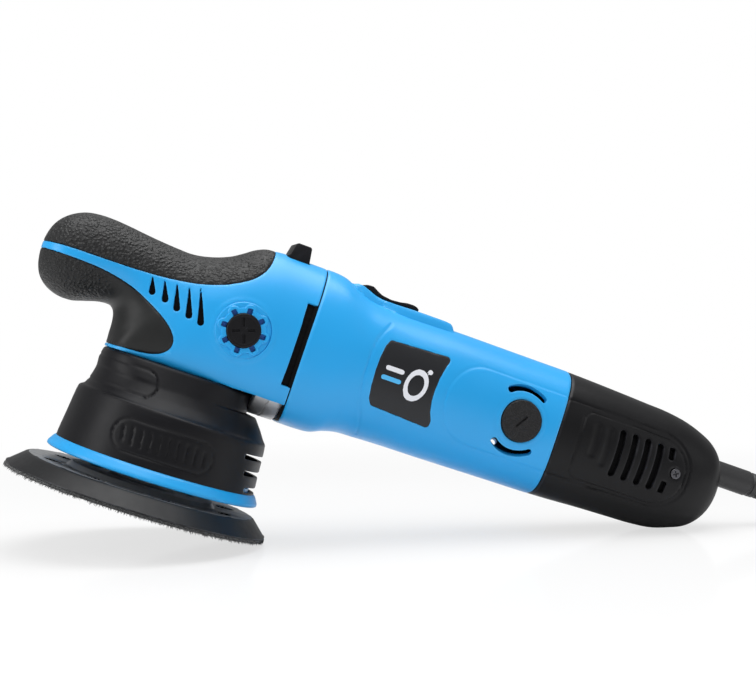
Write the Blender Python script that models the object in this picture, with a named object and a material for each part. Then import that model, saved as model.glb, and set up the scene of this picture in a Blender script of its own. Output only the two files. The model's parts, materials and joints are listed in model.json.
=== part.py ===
# Dual action (random orbital) polisher, modelled as an assembly of separate parts.
#
# Tool frame, in millimetres: the spindle axis is local Z (w), the motor axis runs along local X (u)
# towards the cord, and local Y (v) is across the tool. The pad's hook face is at w = 0.
# The whole tool hangs under one empty that sets it down on a bench, as it rests when put down:
# on the rear edge of the pad and on the foot under the rear cap.
import math

import bpy
import bmesh
from mathutils import Matrix, Vector

MM = 0.001
GAP = 0.3

# ---- driving dimensions (mm) -------------------------------------------------
TILT_DEG = 19.1          # how far the tool leans back when it is set down
PAD_R = 75.0             # 150 mm backing plate
THROW = 8.0              # orbit diameter
ECC = THROW / 2          # pad axis to spindle axis
PAD_H = 11.6             # backing plate height over the hook face
AX = 112.4               # motor axis over the hook face
RING_R = 61.2            # trim ring at the mouth of the shroud
SHROUD_R = 57.8
HEAD_FLOOR = 77.8        # lower edge of the head shell
WALL = 4.2               # head shell wall
RUBBER = 1.6             # grip overmould thickness
BRUSH_U = 185.1          # brush caps along the motor axis
BOSS_U, BOSS_W = 17.6, 109.3   # side handle bosses
LOCK_U = 39.5            # spindle lock button
LOCK_TRAVEL = 3.5
SCREW_V, SCREW_W = 21.5, 25.5   # the four gearbox screws about the motor axis
SWITCH_TRAVEL = 7.0
GEAR_T, PINION_T = 27, 9
RATIO = GEAR_T / PINION_T
GEAR_IN, GEAR_OUT = 12.8, 21.8
CORD_W = 123.3           # cord outlet height
PAD_N = 32               # facets round the pad
BENCH_Z = (PAD_R * math.cos(math.pi / PAD_N) - ECC) * math.sin(math.radians(TILT_DEG))
BENCH_X = -189.67         # puts the middle of the whole tool's length over the origin

for o in list(bpy.data.objects):
    bpy.data.objects.remove(o, do_unlink=True)


# ---- helpers -------------------------------------------------------------------
def material(name, rgb, rough, metal=0.0):
    m = bpy.data.materials.new(name)
    m.use_nodes = True
    b = m.node_tree.nodes["Principled BSDF"]
    b.inputs["Base Color"].default_value = (*rgb, 1)
    b.inputs["Roughness"].default_value = rough
    b.inputs["Metallic"].default_value = metal
    return m


BLUE = material("blue_housing", (0.03, 0.33, 0.82), 0.35)
BLACK = material("black_plastic", (0.022, 0.022, 0.026), 0.42)
RUBBERM = material("grip_rubber", (0.018, 0.019, 0.02), 0.7)
ALU = material("cast_aluminium", (0.55, 0.55, 0.56), 0.45, 1.0)
STEEL = material("steel", (0.56, 0.57, 0.58), 0.3, 1.0)
COPPER = material("copper", (0.72, 0.36, 0.16), 0.35, 1.0)
CARBON = material("carbon", (0.03, 0.03, 0.03), 0.8)
BOARD = material("board", (0.03, 0.16, 0.07), 0.6)
PLATE = material("badge", (0.05, 0.05, 0.055), 0.3)
FOAM = material("pad_body", (0.02, 0.02, 0.022), 0.55)


def empty(name, parent=None, loc=(0, 0, 0), rot=(0, 0, 0)):
    e = bpy.data.objects.new(name, None)
    bpy.context.scene.collection.objects.link(e)
    e.parent = parent
    e.location = Vector(loc) * MM
    e.rotation_euler = rot
    return e


def solid(name, verts, faces, mat, parent, loc=(0, 0, 0), rot=(0, 0, 0), cutter=False, sharp=35):
    me = bpy.data.meshes.new(name)
    me.from_pydata([tuple(c * MM for c in v) for v in verts], [], faces)
    bm = bmesh.new()
    bm.from_mesh(me)
    bmesh.ops.remove_doubles(bm, verts=bm.verts, dist=1e-7)
    bmesh.ops.recalc_face_normals(bm, faces=bm.faces)
    if bm.calc_volume(signed=True) < 0:
        bmesh.ops.reverse_faces(bm, faces=bm.faces)
    bm.normal_update()
    twisted = [f for f in bm.faces if len(f.verts) > 3 and max(abs((v.co - f.verts[0].co).dot(f.normal)) for v in f.verts) > 2e-7]
    bmesh.ops.triangulate(bm, faces=twisted)
    bm.to_mesh(me)
    bm.free()
    me.materials.append(mat)
    me.shade_smooth()
    me.set_sharp_from_angle(angle=math.radians(sharp))
    ob = bpy.data.objects.new(name, me)
    bpy.context.scene.collection.objects.link(ob)
    ob.parent = parent
    ob.location = Vector(loc) * MM
    ob.rotation_euler = rot
    if cutter:
        ob.hide_render = True
        ob.display_type = "WIRE"
    return ob


def boolean(ob, other, op="DIFFERENCE"):
    m = ob.modifiers.new(op.lower() + "_" + other.name, "BOOLEAN")
    m.operation = op
    m.object = other
    m.solver = "EXACT"
    m.use_self = True
    return ob


def loft(rings, cap_a=True, cap_b=True, closed=False):
    """Verts and faces through a list of rings. A ring of one point is a pole."""
    verts, index = [], []
    for r in rings:
        index.append(list(range(len(verts), len(verts) + len(r))))
        verts += [tuple(p) for p in r]
    faces = []
    pairs = list(zip(index, index[1:]))
    if closed:
        pairs.append((index[-1], index[0]))
    for a, b in pairs:
        n = max(len(a), len(b))
        for i in range(n):
            j = (i + 1) % n
            if len(a) == 1:
                faces.append((a[0], b[j], b[i]))
            elif len(b) == 1:
                faces.append((a[i], a[j], b[0]))
            else:
                faces.append((a[i], a[j], b[j], b[i]))
    if not closed:
        if cap_a and len(index[0]) > 2:
            faces.append(tuple(reversed(index[0])))
        if cap_b and len(index[-1]) > 2:
            faces.append(tuple(index[-1]))
    return verts, faces


def turned(profile, n, closed=True, phase=0.0):
    """Revolves (r, z) points about Z. closed: the profile is a loop off the axis; else it starts and ends on the axis."""
    rings = []
    for r, z in profile:
        if r < 1e-6:
            rings.append([(0, 0, z)])
        else:
            rings.append([(r * math.cos(phase + 2 * math.pi * i / n), r * math.sin(phase + 2 * math.pi * i / n), z) for i in range(n)])
    return loft(rings, False, False, closed)


def box(lo, hi):
    (x0, y0, z0), (x1, y1, z1) = lo, hi
    v = [(x0, y0, z0), (x1, y0, z0), (x1, y1, z0), (x0, y1, z0), (x0, y0, z1), (x1, y0, z1), (x1, y1, z1), (x0, y1, z1)]
    return v, [(3, 2, 1, 0), (4, 5, 6, 7), (0, 1, 5, 4), (1, 2, 6, 5), (2, 3, 7, 6), (3, 0, 4, 7)]


def prism(poly, v0, v1):
    """A (u, w) outline extruded across the tool, from v0 to v1."""
    return loft([[(u, v0, w) for u, w in poly], [(u, v1, w) for u, w in poly]])


def joined(parts):
    verts, faces = [], []
    for v, f in parts:
        k = len(verts)
        verts += v
        faces += [tuple(i + k for i in q) for q in f]
    return verts, faces


def moved(vf, matrix):
    v, f = vf
    return [tuple(matrix @ Vector(p)) for p in v], f


def cyl(r, z0, z1, n=24, phase=0.0):
    return turned([(0, z0), (r, z0), (r, z1), (0, z1)], n, False, phase)


def along_v(u, w, v=0.0):
    """Local Z turned to point along -v (out of the left side), placed at (u, v, w)."""
    return Matrix.Translation((u, v, w)) @ Matrix.Rotation(math.radians(90), 4, "X")


def along_u(u=0.0, v=0.0, w=AX):
    return Matrix.Translation((u, v, w)) @ Matrix.Rotation(math.radians(90), 4, "Y")


def outset(poly, d):
    """Moves a counter-clockwise or clockwise outline outwards by d."""
    area = sum(a[0] * b[1] - b[0] * a[1] for a, b in zip(poly, poly[1:] + poly[:1]))
    s = 1 if area > 0 else -1
    out = []
    for a, b, c in zip(poly[-1:] + poly[:-1], poly, poly[1:] + poly[:1]):
        n1 = Vector((b[1] - a[1], a[0] - b[0])).normalized()
        n2 = Vector((c[1] - b[1], b[0] - c[0])).normalized()
        n = n1 + n2
        n /= max(n.dot(n1), 1e-6)
        if n.length > 3:
            n = n.normalized() * 3
        out.append((b[0] + s * n[0] * d, b[1] + s * n[1] * d))
    return out


def sgnpow(x, p):
    return math.copysign(abs(x) ** p, x)


def capsule(c, length, r, n=6, ang=0.0):
    """Slot outline: centre c, total length along Z turned by ang, half width r."""
    h = length / 2 - r
    pts = []
    for k in range(n + 1):
        a = math.pi * k / n
        pts.append((r * math.cos(a), h + r * math.sin(a)))
    for k in range(n + 1):
        a = math.pi + math.pi * k / n
        pts.append((r * math.cos(a), -h + r * math.sin(a)))
    ca, sa = math.cos(ang), math.sin(ang)
    return [(c[0] + x * ca - y * sa, c[1] + x * sa + y * ca) for x, y in pts]


# ---- frame of the assembly -------------------------------------------------------
bench = empty("bench_rest", None, (BENCH_X, 0, BENCH_Z), (0, math.radians(TILT_DEG), 0))
spindle_axis = empty("spindle_axis", bench)
pad_axis = empty("pad_axis", bench, (-ECC, 0, 0))
motor_axis = empty("motor_axis", bench, (0, 0, AX), (0, math.radians(90), 0))   # local Z runs along u


# ---- head: outer form as slanted ribs from the front of the grip to the motor --------
# Each rib: top point, middle, bottom point in (u, w), half width, roundness above and below.
RIBS = [
    (-98.7, 126.0, -98.4, 120.0, -99.0, 114.0, 9.0, 2.0, 2.0),
    (-97.0, 131.5, -96.0, 120.0, -97.6, 108.0, 14.5, 2.0, 2.0),
    (-93.5, 136.8, -91.5, 120.0, -94.6, 102.4, 19.5, 2.1, 2.1),
    (-88.5, 141.0, -86.0, 120.0, -89.5, 98.2, 22.8, 2.1, 2.1),
    (-82.0, 144.1, -79.5, 120.0, -82.5, 95.7, 24.5, 2.1, 2.1),
    (-74.5, 145.4, -72.5, 120.0, -75.0, 95.5, 25.2, 2.1, 2.1),
    (-57.0, 144.8, -57.0, 121.5, -61.5, 99.4, 25.0, 2.1, 2.1),
    (-48.0, 143.8, -49.0, 121.5, -56.0, 100.2, 25.0, 2.1, 2.1),
    (-40.0, 143.0, -41.5, 121.0, -52.4, 99.6, 25.6, 2.1, 2.15),
    (-27.0, 142.2, -29.0, 118.0, -48.8, 91.0, 28.0, 2.1, 2.3),
    (-20.0, 142.2, -22.0, 116.2, -48.2, 77.0, 30.2, 2.1, 2.6),
    (-8.0, 144.2, -10.0, 114.2, -31.0, 68.0, 33.6, 2.1, 3.2),
    (3.0, 148.8, 1.0, 113.5, -8.0, 68.0, 36.3, 2.1, 4.0),
    (9.0, 152.8, 7.5, 113.3, 3.0, 68.0, 36.9, 2.1, 4.2),
    (14.5, 156.8, 14.0, 113.2, 12.0, 68.0, 37.2, 2.1, 4.4),
    (20.0, 159.5, 20.0, 113.2, 20.0, 68.0, 37.4, 2.1, 4.5),
    (28.0, 160.8, 28.0, 113.2, 28.0, 68.0, 37.7, 2.15, 4.5),
    (42.0, 160.9, 42.0, 113.2, 42.0, 68.0, 38.2, 2.2, 4.5),
]
HEAD_POLE = (-99.5, 0.0, 120.0)
SEAM_F, SEAM_F_BOW = 56.8, 4.4     # head to motor housing: position on the centre plane, and how far the sides run forward
SEAM_R, SEAM_R_BOW = 216.6, 9.0    # motor housing to rear cap
HEAD_K = 16


def seam(v, u0, bow, half=38.4):
    return u0 - bow * (v / half) ** 2


def rib_ring(rib, k=HEAD_K, u_fn=None):
    tu, tw, mu, mw, bu, bw, h, nt, nb = rib
    ring = []
    for j in range(k):
        a = 2 * math.pi * j / k
        c, s = math.cos(a), math.sin(a)
        n = nt if c >= 0 else nb
        f, g = abs(c) ** (2 / n), sgnpow(s, 2 / n)
        eu, ew = (tu, tw) if c >= 0 else (bu, bw)
        v = -h * g
        u = mu + (eu - mu) * f
        w = mw + (ew - mw) * f
        ring.append((u if u_fn is None else u_fn(v), v, w))
    return ring


NOSE = (-79.5, 120.0)     # the front of the grip shrinks about this point when the form is offset inwards
NOSE_RIBS = 5


def rib_inset(rib, d):
    tu, tw, mu, mw, bu, bw, h, nt, nb = rib
    ft = 1 - d / math.hypot(tu - mu, tw - mw)
    fb = 1 - d / math.hypot(bu - mu, bw - mw)
    return (mu + (tu - mu) * ft, mw + (tw - mw) * ft, mu, mw, mu + (bu - mu) * fb, mw + (bw - mw) * fb, h - d, nt, nb)


def head_body(offset, rear=None, step=1):
    """Closed solid of the head's outer form, inset by offset. rear extends it straight back past the seam; step thins out the ribs."""
    shrink = 1 - offset / 24.3
    about = lambda p: (NOSE[0] + (p[0] - NOSE[0]) * shrink, p[1] * shrink, NOSE[1] + (p[2] - NOSE[1]) * shrink)
    rings = [[about(HEAD_POLE)]]
    for i, r in enumerate(RIBS):
        if i % step:
            continue
        rings.append([about(p) for p in rib_ring(r)] if i < NOSE_RIBS else rib_ring(rib_inset(r, offset)))
    last = rib_inset((0, 160.7, 0, 113.4, 0, 68.0, 38.6, 2.2, 4.5), offset)
    rings.append(rib_ring(last, u_fn=(lambda v: seam(v, SEAM_F, SEAM_F_BOW)) if rear is None else (lambda v: rear)))
    verts, faces = loft(rings, False, False)
    n = len(verts)
    return verts, faces + [tuple(range(n - HEAD_K, n))]


TOP_RUBBER = [
    (-112, 122.4), (-99.5, 122.4), (-85, 122.9), (-64, 123.1), (-44, 123.5), (-30, 124.4), (-20, 125.6), (-10, 127.6), (-2, 130.2),
    (5, 133.4), (10, 136.2), (14, 139.0), (18, 142.8), (21, 147.0), (23, 152.0), (24.3, 157.0), (25.5, 161.0), (25.8, 175), (-112, 175),
]
LOW_RUBBER = [
    (-112, 118.2), (-99.5, 118.2), (-84.3, 117.8), (-64.3, 116.3), (-54.5, 114.2), (-44.5, 111.1), (-35, 106.4), (-27.5, 101.8),
    (-22, 97.0), (-18.8, 92.8), (-17.8, 89.3), (-18.8, 85.3), (-22.7, 81.7), (-30.5, 79.9), (-40, 79.6), (-60, 79.6), (-60, 90), (-112, 90),
]
VENTS = [  # tip, foot centre
    ((-39.3, 120.2), (-37.1, 113.9)),
    ((-32.5, 120.2), (-29.3, 112.4)),
    ((-25.4, 120.2), (-22.0, 109.8)),
    ((-18.2, 120.3), (-14.2, 108.3)),
    ((-11.7, 121.0), (-6.7, 106.5)),
]


def teardrop(tip, foot, r=2.1, n=4):
    d = Vector((foot[0] - tip[0], foot[1] - tip[1])).normalized()
    a0 = math.atan2(d.y, d.x)
    return [tip] + [(foot[0] + r * math.cos(a0 + t), foot[1] + r * math.sin(a0 + t)) for t in [math.radians(-95 + 190 * i / n) for i in range(n + 1)]]


off_under = solid("cut_off_under", *head_body(RUBBER + GAP, 75, 2), BLUE, bench, cutter=True)
off_rubber = solid("cut_off_rubber", *head_body(RUBBER, 75, 2), BLUE, bench, cutter=True)
cavity = solid("cut_cavity", *head_body(WALL, 75, 2), BLUE, bench, cutter=True)
seat_top = solid("cut_seat_top", *prism(outset(TOP_RUBBER, GAP), -60, 60), BLUE, bench, cutter=True)
boolean(seat_top, off_under)
seat_low = solid("cut_seat_low", *prism(outset(LOW_RUBBER, GAP), -60, 60), BLUE, bench, cutter=True)
boolean(seat_low, off_under)

# openings through the head shell: vents, air outlet notch, handle bosses, lock button
SCREWS = [(-74.0, 108.0), (-40.5, 95.0)]   # the two screws that pull the shell halves together


def shell_cuts(side, name):
    parts = []
    for tip, foot in VENTS:
        parts.append(prism(teardrop(tip, foot), side * 20, side * 45))
    parts.append(box((46.9, min(side * 26, side * 48), 87.8), (60, max(side * 26, side * 48), 136.0)))
    m = along_v(BOSS_U, BOSS_W)
    parts.append(moved(cyl(16.3, 20, 48, 28) if side < 0 else cyl(16.3, -48, -20, 28), m))
    parts.append(box((LOCK_U - 7.0, -12.4 if side < 0 else -0.5, 148), (LOCK_U + 6.4, 0.5 if side < 0 else 12.4, 168)))
    for u, w in SCREWS:
        if side > 0:
            parts.append(moved(cyl(2.2, -48, 0, 12), along_v(u, w)))
            parts.append(moved(cyl(4.2, -48, -12, 14), along_v(u, w)))
        else:
            parts.append(moved(cyl(1.95, -1, 14, 12), along_v(u, w)))
    return solid(name, *joined(parts), BLUE, bench, cutter=True)


shells = {}
for side, name in ((-1, "head_shell_left"), (1, "head_shell_right")):
    ob = solid(name, *head_body(0), BLUE, bench)
    lo = (-130, -80 if side < 0 else 0.2, HEAD_FLOOR)
    hi = (90, -0.2 if side < 0 else 80, 200)
    half = solid("cut_half_" + name, *box(lo, hi), BLUE, bench, cutter=True)
    boolean(ob, half, "INTERSECT")
    boolean(ob, cavity)
    boolean(ob, seat_top)
    boolean(ob, seat_low)
    posts = []
    for u, w in SCREWS:
        posts.append(moved(cyl(5.4, 0.2, 23, 14) if side < 0 else cyl(5.4, -20.5, -0.2, 14), along_v(u, w)))
    post = solid("join_posts_" + name, *joined(posts), BLUE, bench, cutter=True)
    limit = solid("join_limit_" + name, *head_body(RUBBER + GAP + 0.6, 75, 2), BLUE, bench, cutter=True)
    boolean(post, limit, "INTERSECT")
    boolean(ob, post, "UNION")
    boolean(ob, shell_cuts(side, "cut_openings_" + name))
    shells[name] = ob

grip_top = solid("grip_pad_top", *head_body(0), RUBBERM, bench)
boolean(grip_top, solid("cut_grip_top", *prism(TOP_RUBBER, -60, 60), RUBBERM, bench, cutter=True), "INTERSECT")
boolean(grip_top, off_rubber)
grip_low = solid("grip_pad_lower", *head_body(0), RUBBERM, bench)
boolean(grip_low, solid("cut_grip_low", *prism(LOW_RUBBER, -60, 60), RUBBERM, bench, cutter=True), "INTERSECT")
boolean(grip_low, off_rubber)
boolean(grip_low, solid("cut_grip_holes", *joined([moved(cyl(4.4, -48, -12, 14), along_v(u, w)) for u, w in SCREWS]), RUBBERM, bench, cutter=True))

for i, (u, w) in enumerate(SCREWS):
    ob = solid(("head_screw_front", "head_screw_rear")[i], *turned([(0, 9), (1.6, 8.5), (1.6, -12.3), (3.3, -12.3), (3.3, -14.2), (2.4, -15.0), (0, -15.0)], 12, False), STEEL, bench, (u, 0, w), (math.radians(90), 0, 0))

# ---- motor housing --------------------------------------------------------------
# (u, top, bottom, half width, roundness above, below)
TUBE = [
    (62.0, 160.9, 67.3, 39.2, 2.2, 2.8),
    (70.0, 159.6, 67.3, 39.2, 2.2, 2.8),
    (77.0, 156.2, 67.6, 39.0, 2.2, 2.7),
    (84.0, 153.6, 70.4, 38.6, 2.2, 2.5),
    (92.0, 151.8, 72.6, 38.2, 2.2, 2.3),
    (104.0, 150.9, 73.1, 37.8, 2.2, 2.2),
    (150.0, 150.7, 73.6, 37.4, 2.2, 2.2),
    (196.0, 150.4, 74.2, 37.0, 2.2, 2.2),
]
TUBE_K = 20


def tube_ring(u, top, bot, hw, nt, nb, inset=0.0, u_fn=None, k=TUBE_K):
    c = AX
    ring = []
    for j in range(k):
        a = 2 * math.pi * j / k
        cc, s = math.cos(a), math.sin(a)
        n = nt if cc >= 0 else nb
        hh = (top - c if cc >= 0 else c - bot) - inset
        v = -(hw - inset) * sgnpow(s, 2 / n)
        ring.append((u if u_fn is None else u_fn(v), v, c + hh * sgnpow(cc, 2 / n)))
    return ring


front = (0, 160.9, 67.3, 39.0, 2.2, 2.8)
rear = (0, 150.3, 74.4, 36.9, 2.2, 2.2)
outer = [tube_ring(*front, u_fn=lambda v: seam(v, SEAM_F + 0.5, SEAM_F_BOW))]
outer += [tube_ring(*r) for r in TUBE]
outer.append(tube_ring(*rear, u_fn=lambda v: seam(v, SEAM_R, SEAM_R_BOW)))
inner = [tube_ring(*rear, inset=2.6, u_fn=lambda v: seam(v, SEAM_R, SEAM_R_BOW))]
inner += [tube_ring(*r, inset=2.6) for r in reversed(TUBE)]
circle = lambda u, r, k=TUBE_K: [(u, -r * math.sin(2 * math.pi * j / k), AX + r * math.cos(2 * math.pi * j / k)) for j in range(k)]
inner += [circle(62.0, 29.0), circle(57.6, 29.0)]
motor_housing = solid("motor_housing", *loft(outer + inner, closed=True), BLUE, bench)

# raised deck under the switch
DECK = [(72.5, 150), (73.0, 157.2), (76.5, 158.5), (80.5, 158.0), (83.5, 156.6), (86.5, 155.4), (90.0, 154.5), (94.0, 154.0), (132.5, 153.6), (135.5, 152.4), (138.5, 149.6), (138.5, 148.6), (104, 148.8), (92, 149.2), (80, 151.5)]
deck = solid("join_deck", *prism(DECK, -12.5, 12.5), BLUE, bench, cutter=True)
boolean(motor_housing, deck, "UNION")
cuts = []
cuts.append(box((88.0, -3.6, 140), (115.0, 3.6, 165)))                     # slot for the switch stem
for side in (-1, 1):
    m = along_v(BRUSH_U, AX)
    lo, hi = (26, 48) if side < 0 else (-48, -26)
    cuts.append(moved(cyl(12.5, lo, hi, 28), m))
    for half in (1, -1):                                                     # arc vents over and under each brush cap
        pts = []
        for t in range(6):
            a = math.radians(90 + 37 - 74 * t / 5) * half
            pts.append((BRUSH_U + 20.2 * math.cos(a), AX + 20.2 * math.sin(a)))
        for t in range(6):
            a = math.radians(90 - 37 + 74 * t / 5) * half
            pts.append((BRUSH_U + 17.4 * math.cos(a), AX + 17.4 * math.sin(a)))
        cuts.append(prism(pts, side * 20, side * 45))
for sv in (-1, 1):                                                           # holes for the four gearbox screws
    for sw in (-1, 1):
        cuts.append(moved(cyl(2.3, 50, 66, 10), Matrix.Translation((0, sv * SCREW_V, AX + sw * SCREW_W)) @ Matrix.Rotation(math.radians(90), 4, "Y")))
boolean(motor_housing, solid("cut_motor_housing", *joined(cuts), BLUE, bench, cutter=True))

# badge plates, one on each side, in shallow seats on the housing
BADGE = [(97.5, 131.6), (96.0, 127), (94.6, 120), (94.2, 113), (94.8, 104), (96.2, 97), (98.2, 93.2), (133.0, 91.4), (134.8, 92.6), (134.2, 95), (131.4, 100), (129.8, 106), (129.4, 112), (130.2, 120), (132.2, 127), (134.6, 131.6), (133.6, 133.4)]


def skin(poly, side, inset0, inset1, name, mat, us=None):
    """A plate that follows the tube's surface inside an outline, between two insets from it."""
    lo, hi = (inset0, inset1)
    rings = [tube_ring(*TUBE[5], inset=lo)], [tube_ring(*TUBE[5], inset=hi)]
    a = loft([tube_ring(88, *TUBE[5][1:], inset=lo), tube_ring(150, *TUBE[6][1:], inset=lo)])
    b = loft([tube_ring(80, *TUBE[5][1:], inset=hi), tube_ring(160, *TUBE[6][1:], inset=hi)])
    ob = solid(name, *a, mat, bench)
    boolean(ob, solid("cut_out_" + name, *prism(poly, side * 15, side * 50), mat, bench, cutter=True), "INTERSECT")
    boolean(ob, solid("cut_in_" + name, *b, mat, bench, cutter=True))
    return ob


for side, name in ((-1, "badge_plate_left"), (1, "badge_plate_right")):
    plate = skin(BADGE, side, 0.0, 0.9, name, PLATE)
    seat = solid("cut_seat_" + name, *prism(outset(BADGE, GAP), side * 15, side * 50), BLUE, bench, cutter=True)
    boolean(seat, solid("cut_floor_" + name, *loft([tube_ring(80, *TUBE[5][1:], inset=1.2), tube_ring(160, *TUBE[6][1:], inset=1.2)]), BLUE, bench, cutter=True))
    boolean(motor_housing, seat)

# ---- rear cap -----------------------------------------------------------------------
CAP = [
    (228.0, 150.0, 74.8, 36.7, 2.2, 2.2),
    (250.0, 149.4, 75.8, 36.2, 2.2, 2.2),
    (287.0, 148.0, 77.0, 34.8, 2.2, 2.3),
    (298.5, 146.4, 78.3, 33.6, 2.2, 2.3),
    (308.0, 143.9, 81.2, 31.4, 2.2, 2.3),
    (316.5, 140.6, 84.6, 28.0, 2.2, 2.3),
    (322.5, 136.2, 89.6, 23.4, 2.2, 2.2),
    (326.5, 129.6, 96.6, 17.0, 2.1, 2.1),
    (328.7, 121.5, 104.5, 9.0, 2.0, 2.0),
]
outer = [tube_ring(*rear, u_fn=lambda v: seam(v, SEAM_R + 0.5, SEAM_R_BOW))] + [tube_ring(*r) for r in CAP] + [[(329.3, 0, AX)]]
inner = [tube_ring(*rear, inset=2.6, u_fn=lambda v: seam(v, SEAM_R + 0.5, SEAM_R_BOW))] + [tube_ring(r[0] - (0 if i < 4 else 1.6), *r[1:], inset=2.6) for i, r in enumerate(CAP[:-1]) if i in (1, 3, 5, 7)] + [[(326.0, 0, AX)]]
rear_cap = solid("rear_cap", *loft(list(reversed(outer)) + inner, False, False), BLACK, bench)
cuts = []
SLOT_U = [248.2, 256.5, 265.0, 273.5]
for side in (-1, 1):
    for u in SLOT_U:
        cuts.append(prism(capsule((u, 113.2), 28.4, 2.1, 2), side * 24, side * 45))
    cuts.append(prism(capsule((281.6, 123.4), 7.2, 2.1, 2), side * 24, side * 45))
    cuts.append(prism(capsule((281.6, 103.0), 7.2, 2.1, 2), side * 24, side * 45))
    lo, hi = (28, 45) if side < 0 else (-45, -28)
    cuts.append(moved(cyl(3.6, lo + 4.6, hi, 14) if side < 0 else cyl(3.6, lo, hi - 4.6, 14), along_v(286.5, 113.0)))
    cuts.append(moved(cyl(1.9, lo, hi, 10), along_v(286.5, 113.0)))
cuts.append(moved(cyl(8.05, 310, 340, 16), Matrix.Translation((0, 0, CORD_W)) @ Matrix.Rotation(math.radians(90), 4, "Y")))   # cord guard neck
cuts.append(moved(box((-4.2, -30, -12), (4.2, 30, 12)), Matrix.Translation((232.0, 20.2, AX + 20.2)) @ Matrix.Rotation(math.radians(-45), 4, "X") @ Matrix.Translation((0, 0, 10))))
boolean(rear_cap, solid("cut_rear_cap", *joined(cuts), BLACK, bench, cutter=True))
# flat foot under the cap: the tool rests on it, and it is parallel to the bench
foot_cut = solid("cut_foot", *box((0, -60, -60), (500, 60, 0.0)), BLACK, None, (-100, 0, 0), cutter=True)
boolean(rear_cap, foot_cut)

for side, name in ((-1, "rear_cap_screw_left"), (1, "rear_cap_screw_right")):
    solid(name, *turned([(0, 20), (1.5, 20.6), (1.5, 33.1), (3.2, 33.1), (3.2, 34.3), (2.6, 34.9), (0, 34.9)], 12, False), STEEL, bench, (286.5, 0, 113.0), (math.radians(90 if side < 0 else -90), 0, 0))

# ---- cord ----------------------------------------------------------------------------
cord_line = empty("cord_line", bench, (0, 0, CORD_W), (0, math.radians(90), 0))
solid("cord_guard", *turned([(4.3, 314.0), (8.7, 314.0), (8.7, 317.2), (7.7, 317.2), (7.75, 336), (7.4, 352), (6.6, 366), (5.4, 371), (4.3, 371.6)], 16), RUBBERM, cord_line)


def swept(points, r, n=12):
    pts = [Vector(p) for p in points]
    rings = []
    up = Vector((0, 1, 0))
    for i, p in enumerate(pts):
        t = (pts[min(i + 1, len(pts) - 1)] - pts[max(i - 1, 0)]).normalized()
        side = up
        nor = t.cross(side).normalized()
        rings.append([tuple(p + side * (r * math.cos(2 * math.pi * j / n)) + nor * (r * math.sin(2 * math.pi * j / n))) for j in range(n)])
    return loft(rings)


th = math.radians(TILT_DEG)


def to_tool(x, y, z):
    """Bench position over the spindle foot to tool frame, mm."""
    x, z = x, z - BENCH_Z
    return (x * math.cos(th) - z * math.sin(th), y, x * math.sin(th) + z * math.cos(th))


end_u = 378.0
ex, ez = end_u * math.cos(th) + CORD_W * math.sin(th), -end_u * math.sin(th) + CORD_W * math.cos(th) + BENCH_Z
cord_pts = [(300.0, 0, CORD_W), (316, 0, CORD_W), (340, 0, CORD_W), (368, 0, CORD_W), (end_u, 0, CORD_W)]
for dx, dz in ((10, 3.1), (20, 5.6), (30, 7.4), (42, 8.6), (56, 9.0)):
    cord_pts.append(to_tool(ex + dx, 0, ez - dz))
solid("power_cord", *swept(cord_pts, 3.9, 12), RUBBERM, bench)
clamp = solid("cord_clamp", *box((302, -11, CORD_W - 8.0), (310, 11, CORD_W - 4.5)), BLACK, bench)

# ---- shroud and trim ring --------------------------------------------------------------
# (w, front, rear, half width, roundness)
SHROUD = [
    (21.4, -57.9, 57.7, 57.8, 2.0),
    (36.5, -56.6, 56.4, 56.5, 2.0),
    (52.0, -55.3, 55.1, 55.2, 2.0),
    (53.6, -54.5, 54.4, 54.4, 2.0),
    (54.3, -52.4, 53.6, 52.4, 2.0),
    (60.0, -50.2, 49.5, 46.5, 2.05),
    (65.9, -49.0, 44.6, 42.2, 2.15),
    (66.1, -49.0, 38.5, 42.1, 2.3),
    (72.0, -49.5, 38.5, 39.4, 2.4),
    (77.4, -48.5, 38.5, 37.0, 2.5),
]
SH_K = 24


def plan_ring(w, front, rear, hw, n, inset=0.0, k=SH_K):
    c = 0.0 if n == 2.0 else -3.0
    ring = []
    for j in range(k):
        a = 2 * math.pi * j / k
        cc, s = math.cos(a), math.sin(a)
        hu = (rear - c if cc >= 0 else c - front) - inset
        ring.append((c + hu * sgnpow(cc, 2 / n), (hw - inset) * sgnpow(s, 2 / n), w))
    return ring


outer = [plan_ring(*r) for r in SHROUD]
inner = [plan_ring(74.8, -49.0, 38.5, 38.0, 2.4, inset=2.6), plan_ring(66.2, -49.0, 38.5, 41.6, 2.3, inset=2.6), plan_ring(60.0, -50.2, 47.0, 46.5, 2.05, inset=2.6), plan_ring(51.6, -55.3, 55.1, 55.2, 2.0, inset=2.6), plan_ring(21.4, -57.9, 57.7, 57.8, 2.0, inset=2.6)]
hole_r = 26.4
hole = [[(hole_r * math.cos(2 * math.pi * j / SH_K), hole_r * math.sin(2 * math.pi * j / SH_K), w) for j in range(SH_K)] for w in (77.4, 74.8)]
shroud = solid("shroud", *loft(outer + hole + inner, closed=True), BLACK, bench)
cuts = []
for w, half in ((44.8, 43), (35.8, 40), (26.8, 35)):      # three air slots round the rear
    prof = [(48, w - 1.45), (64, w - 1.45), (64, w + 1.45), (48, w + 1.45)]
    n = 5
    rings = []
    for t in range(n + 1):
        a = math.radians(-half + 2 * half * t / n)
        rings.append([(r * math.cos(a), r * math.sin(a), z) for r, z in prof])
    cuts.append(loft(rings))
boolean(shroud, solid("cut_shroud", *joined(cuts), BLACK, bench, cutter=True))

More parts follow.
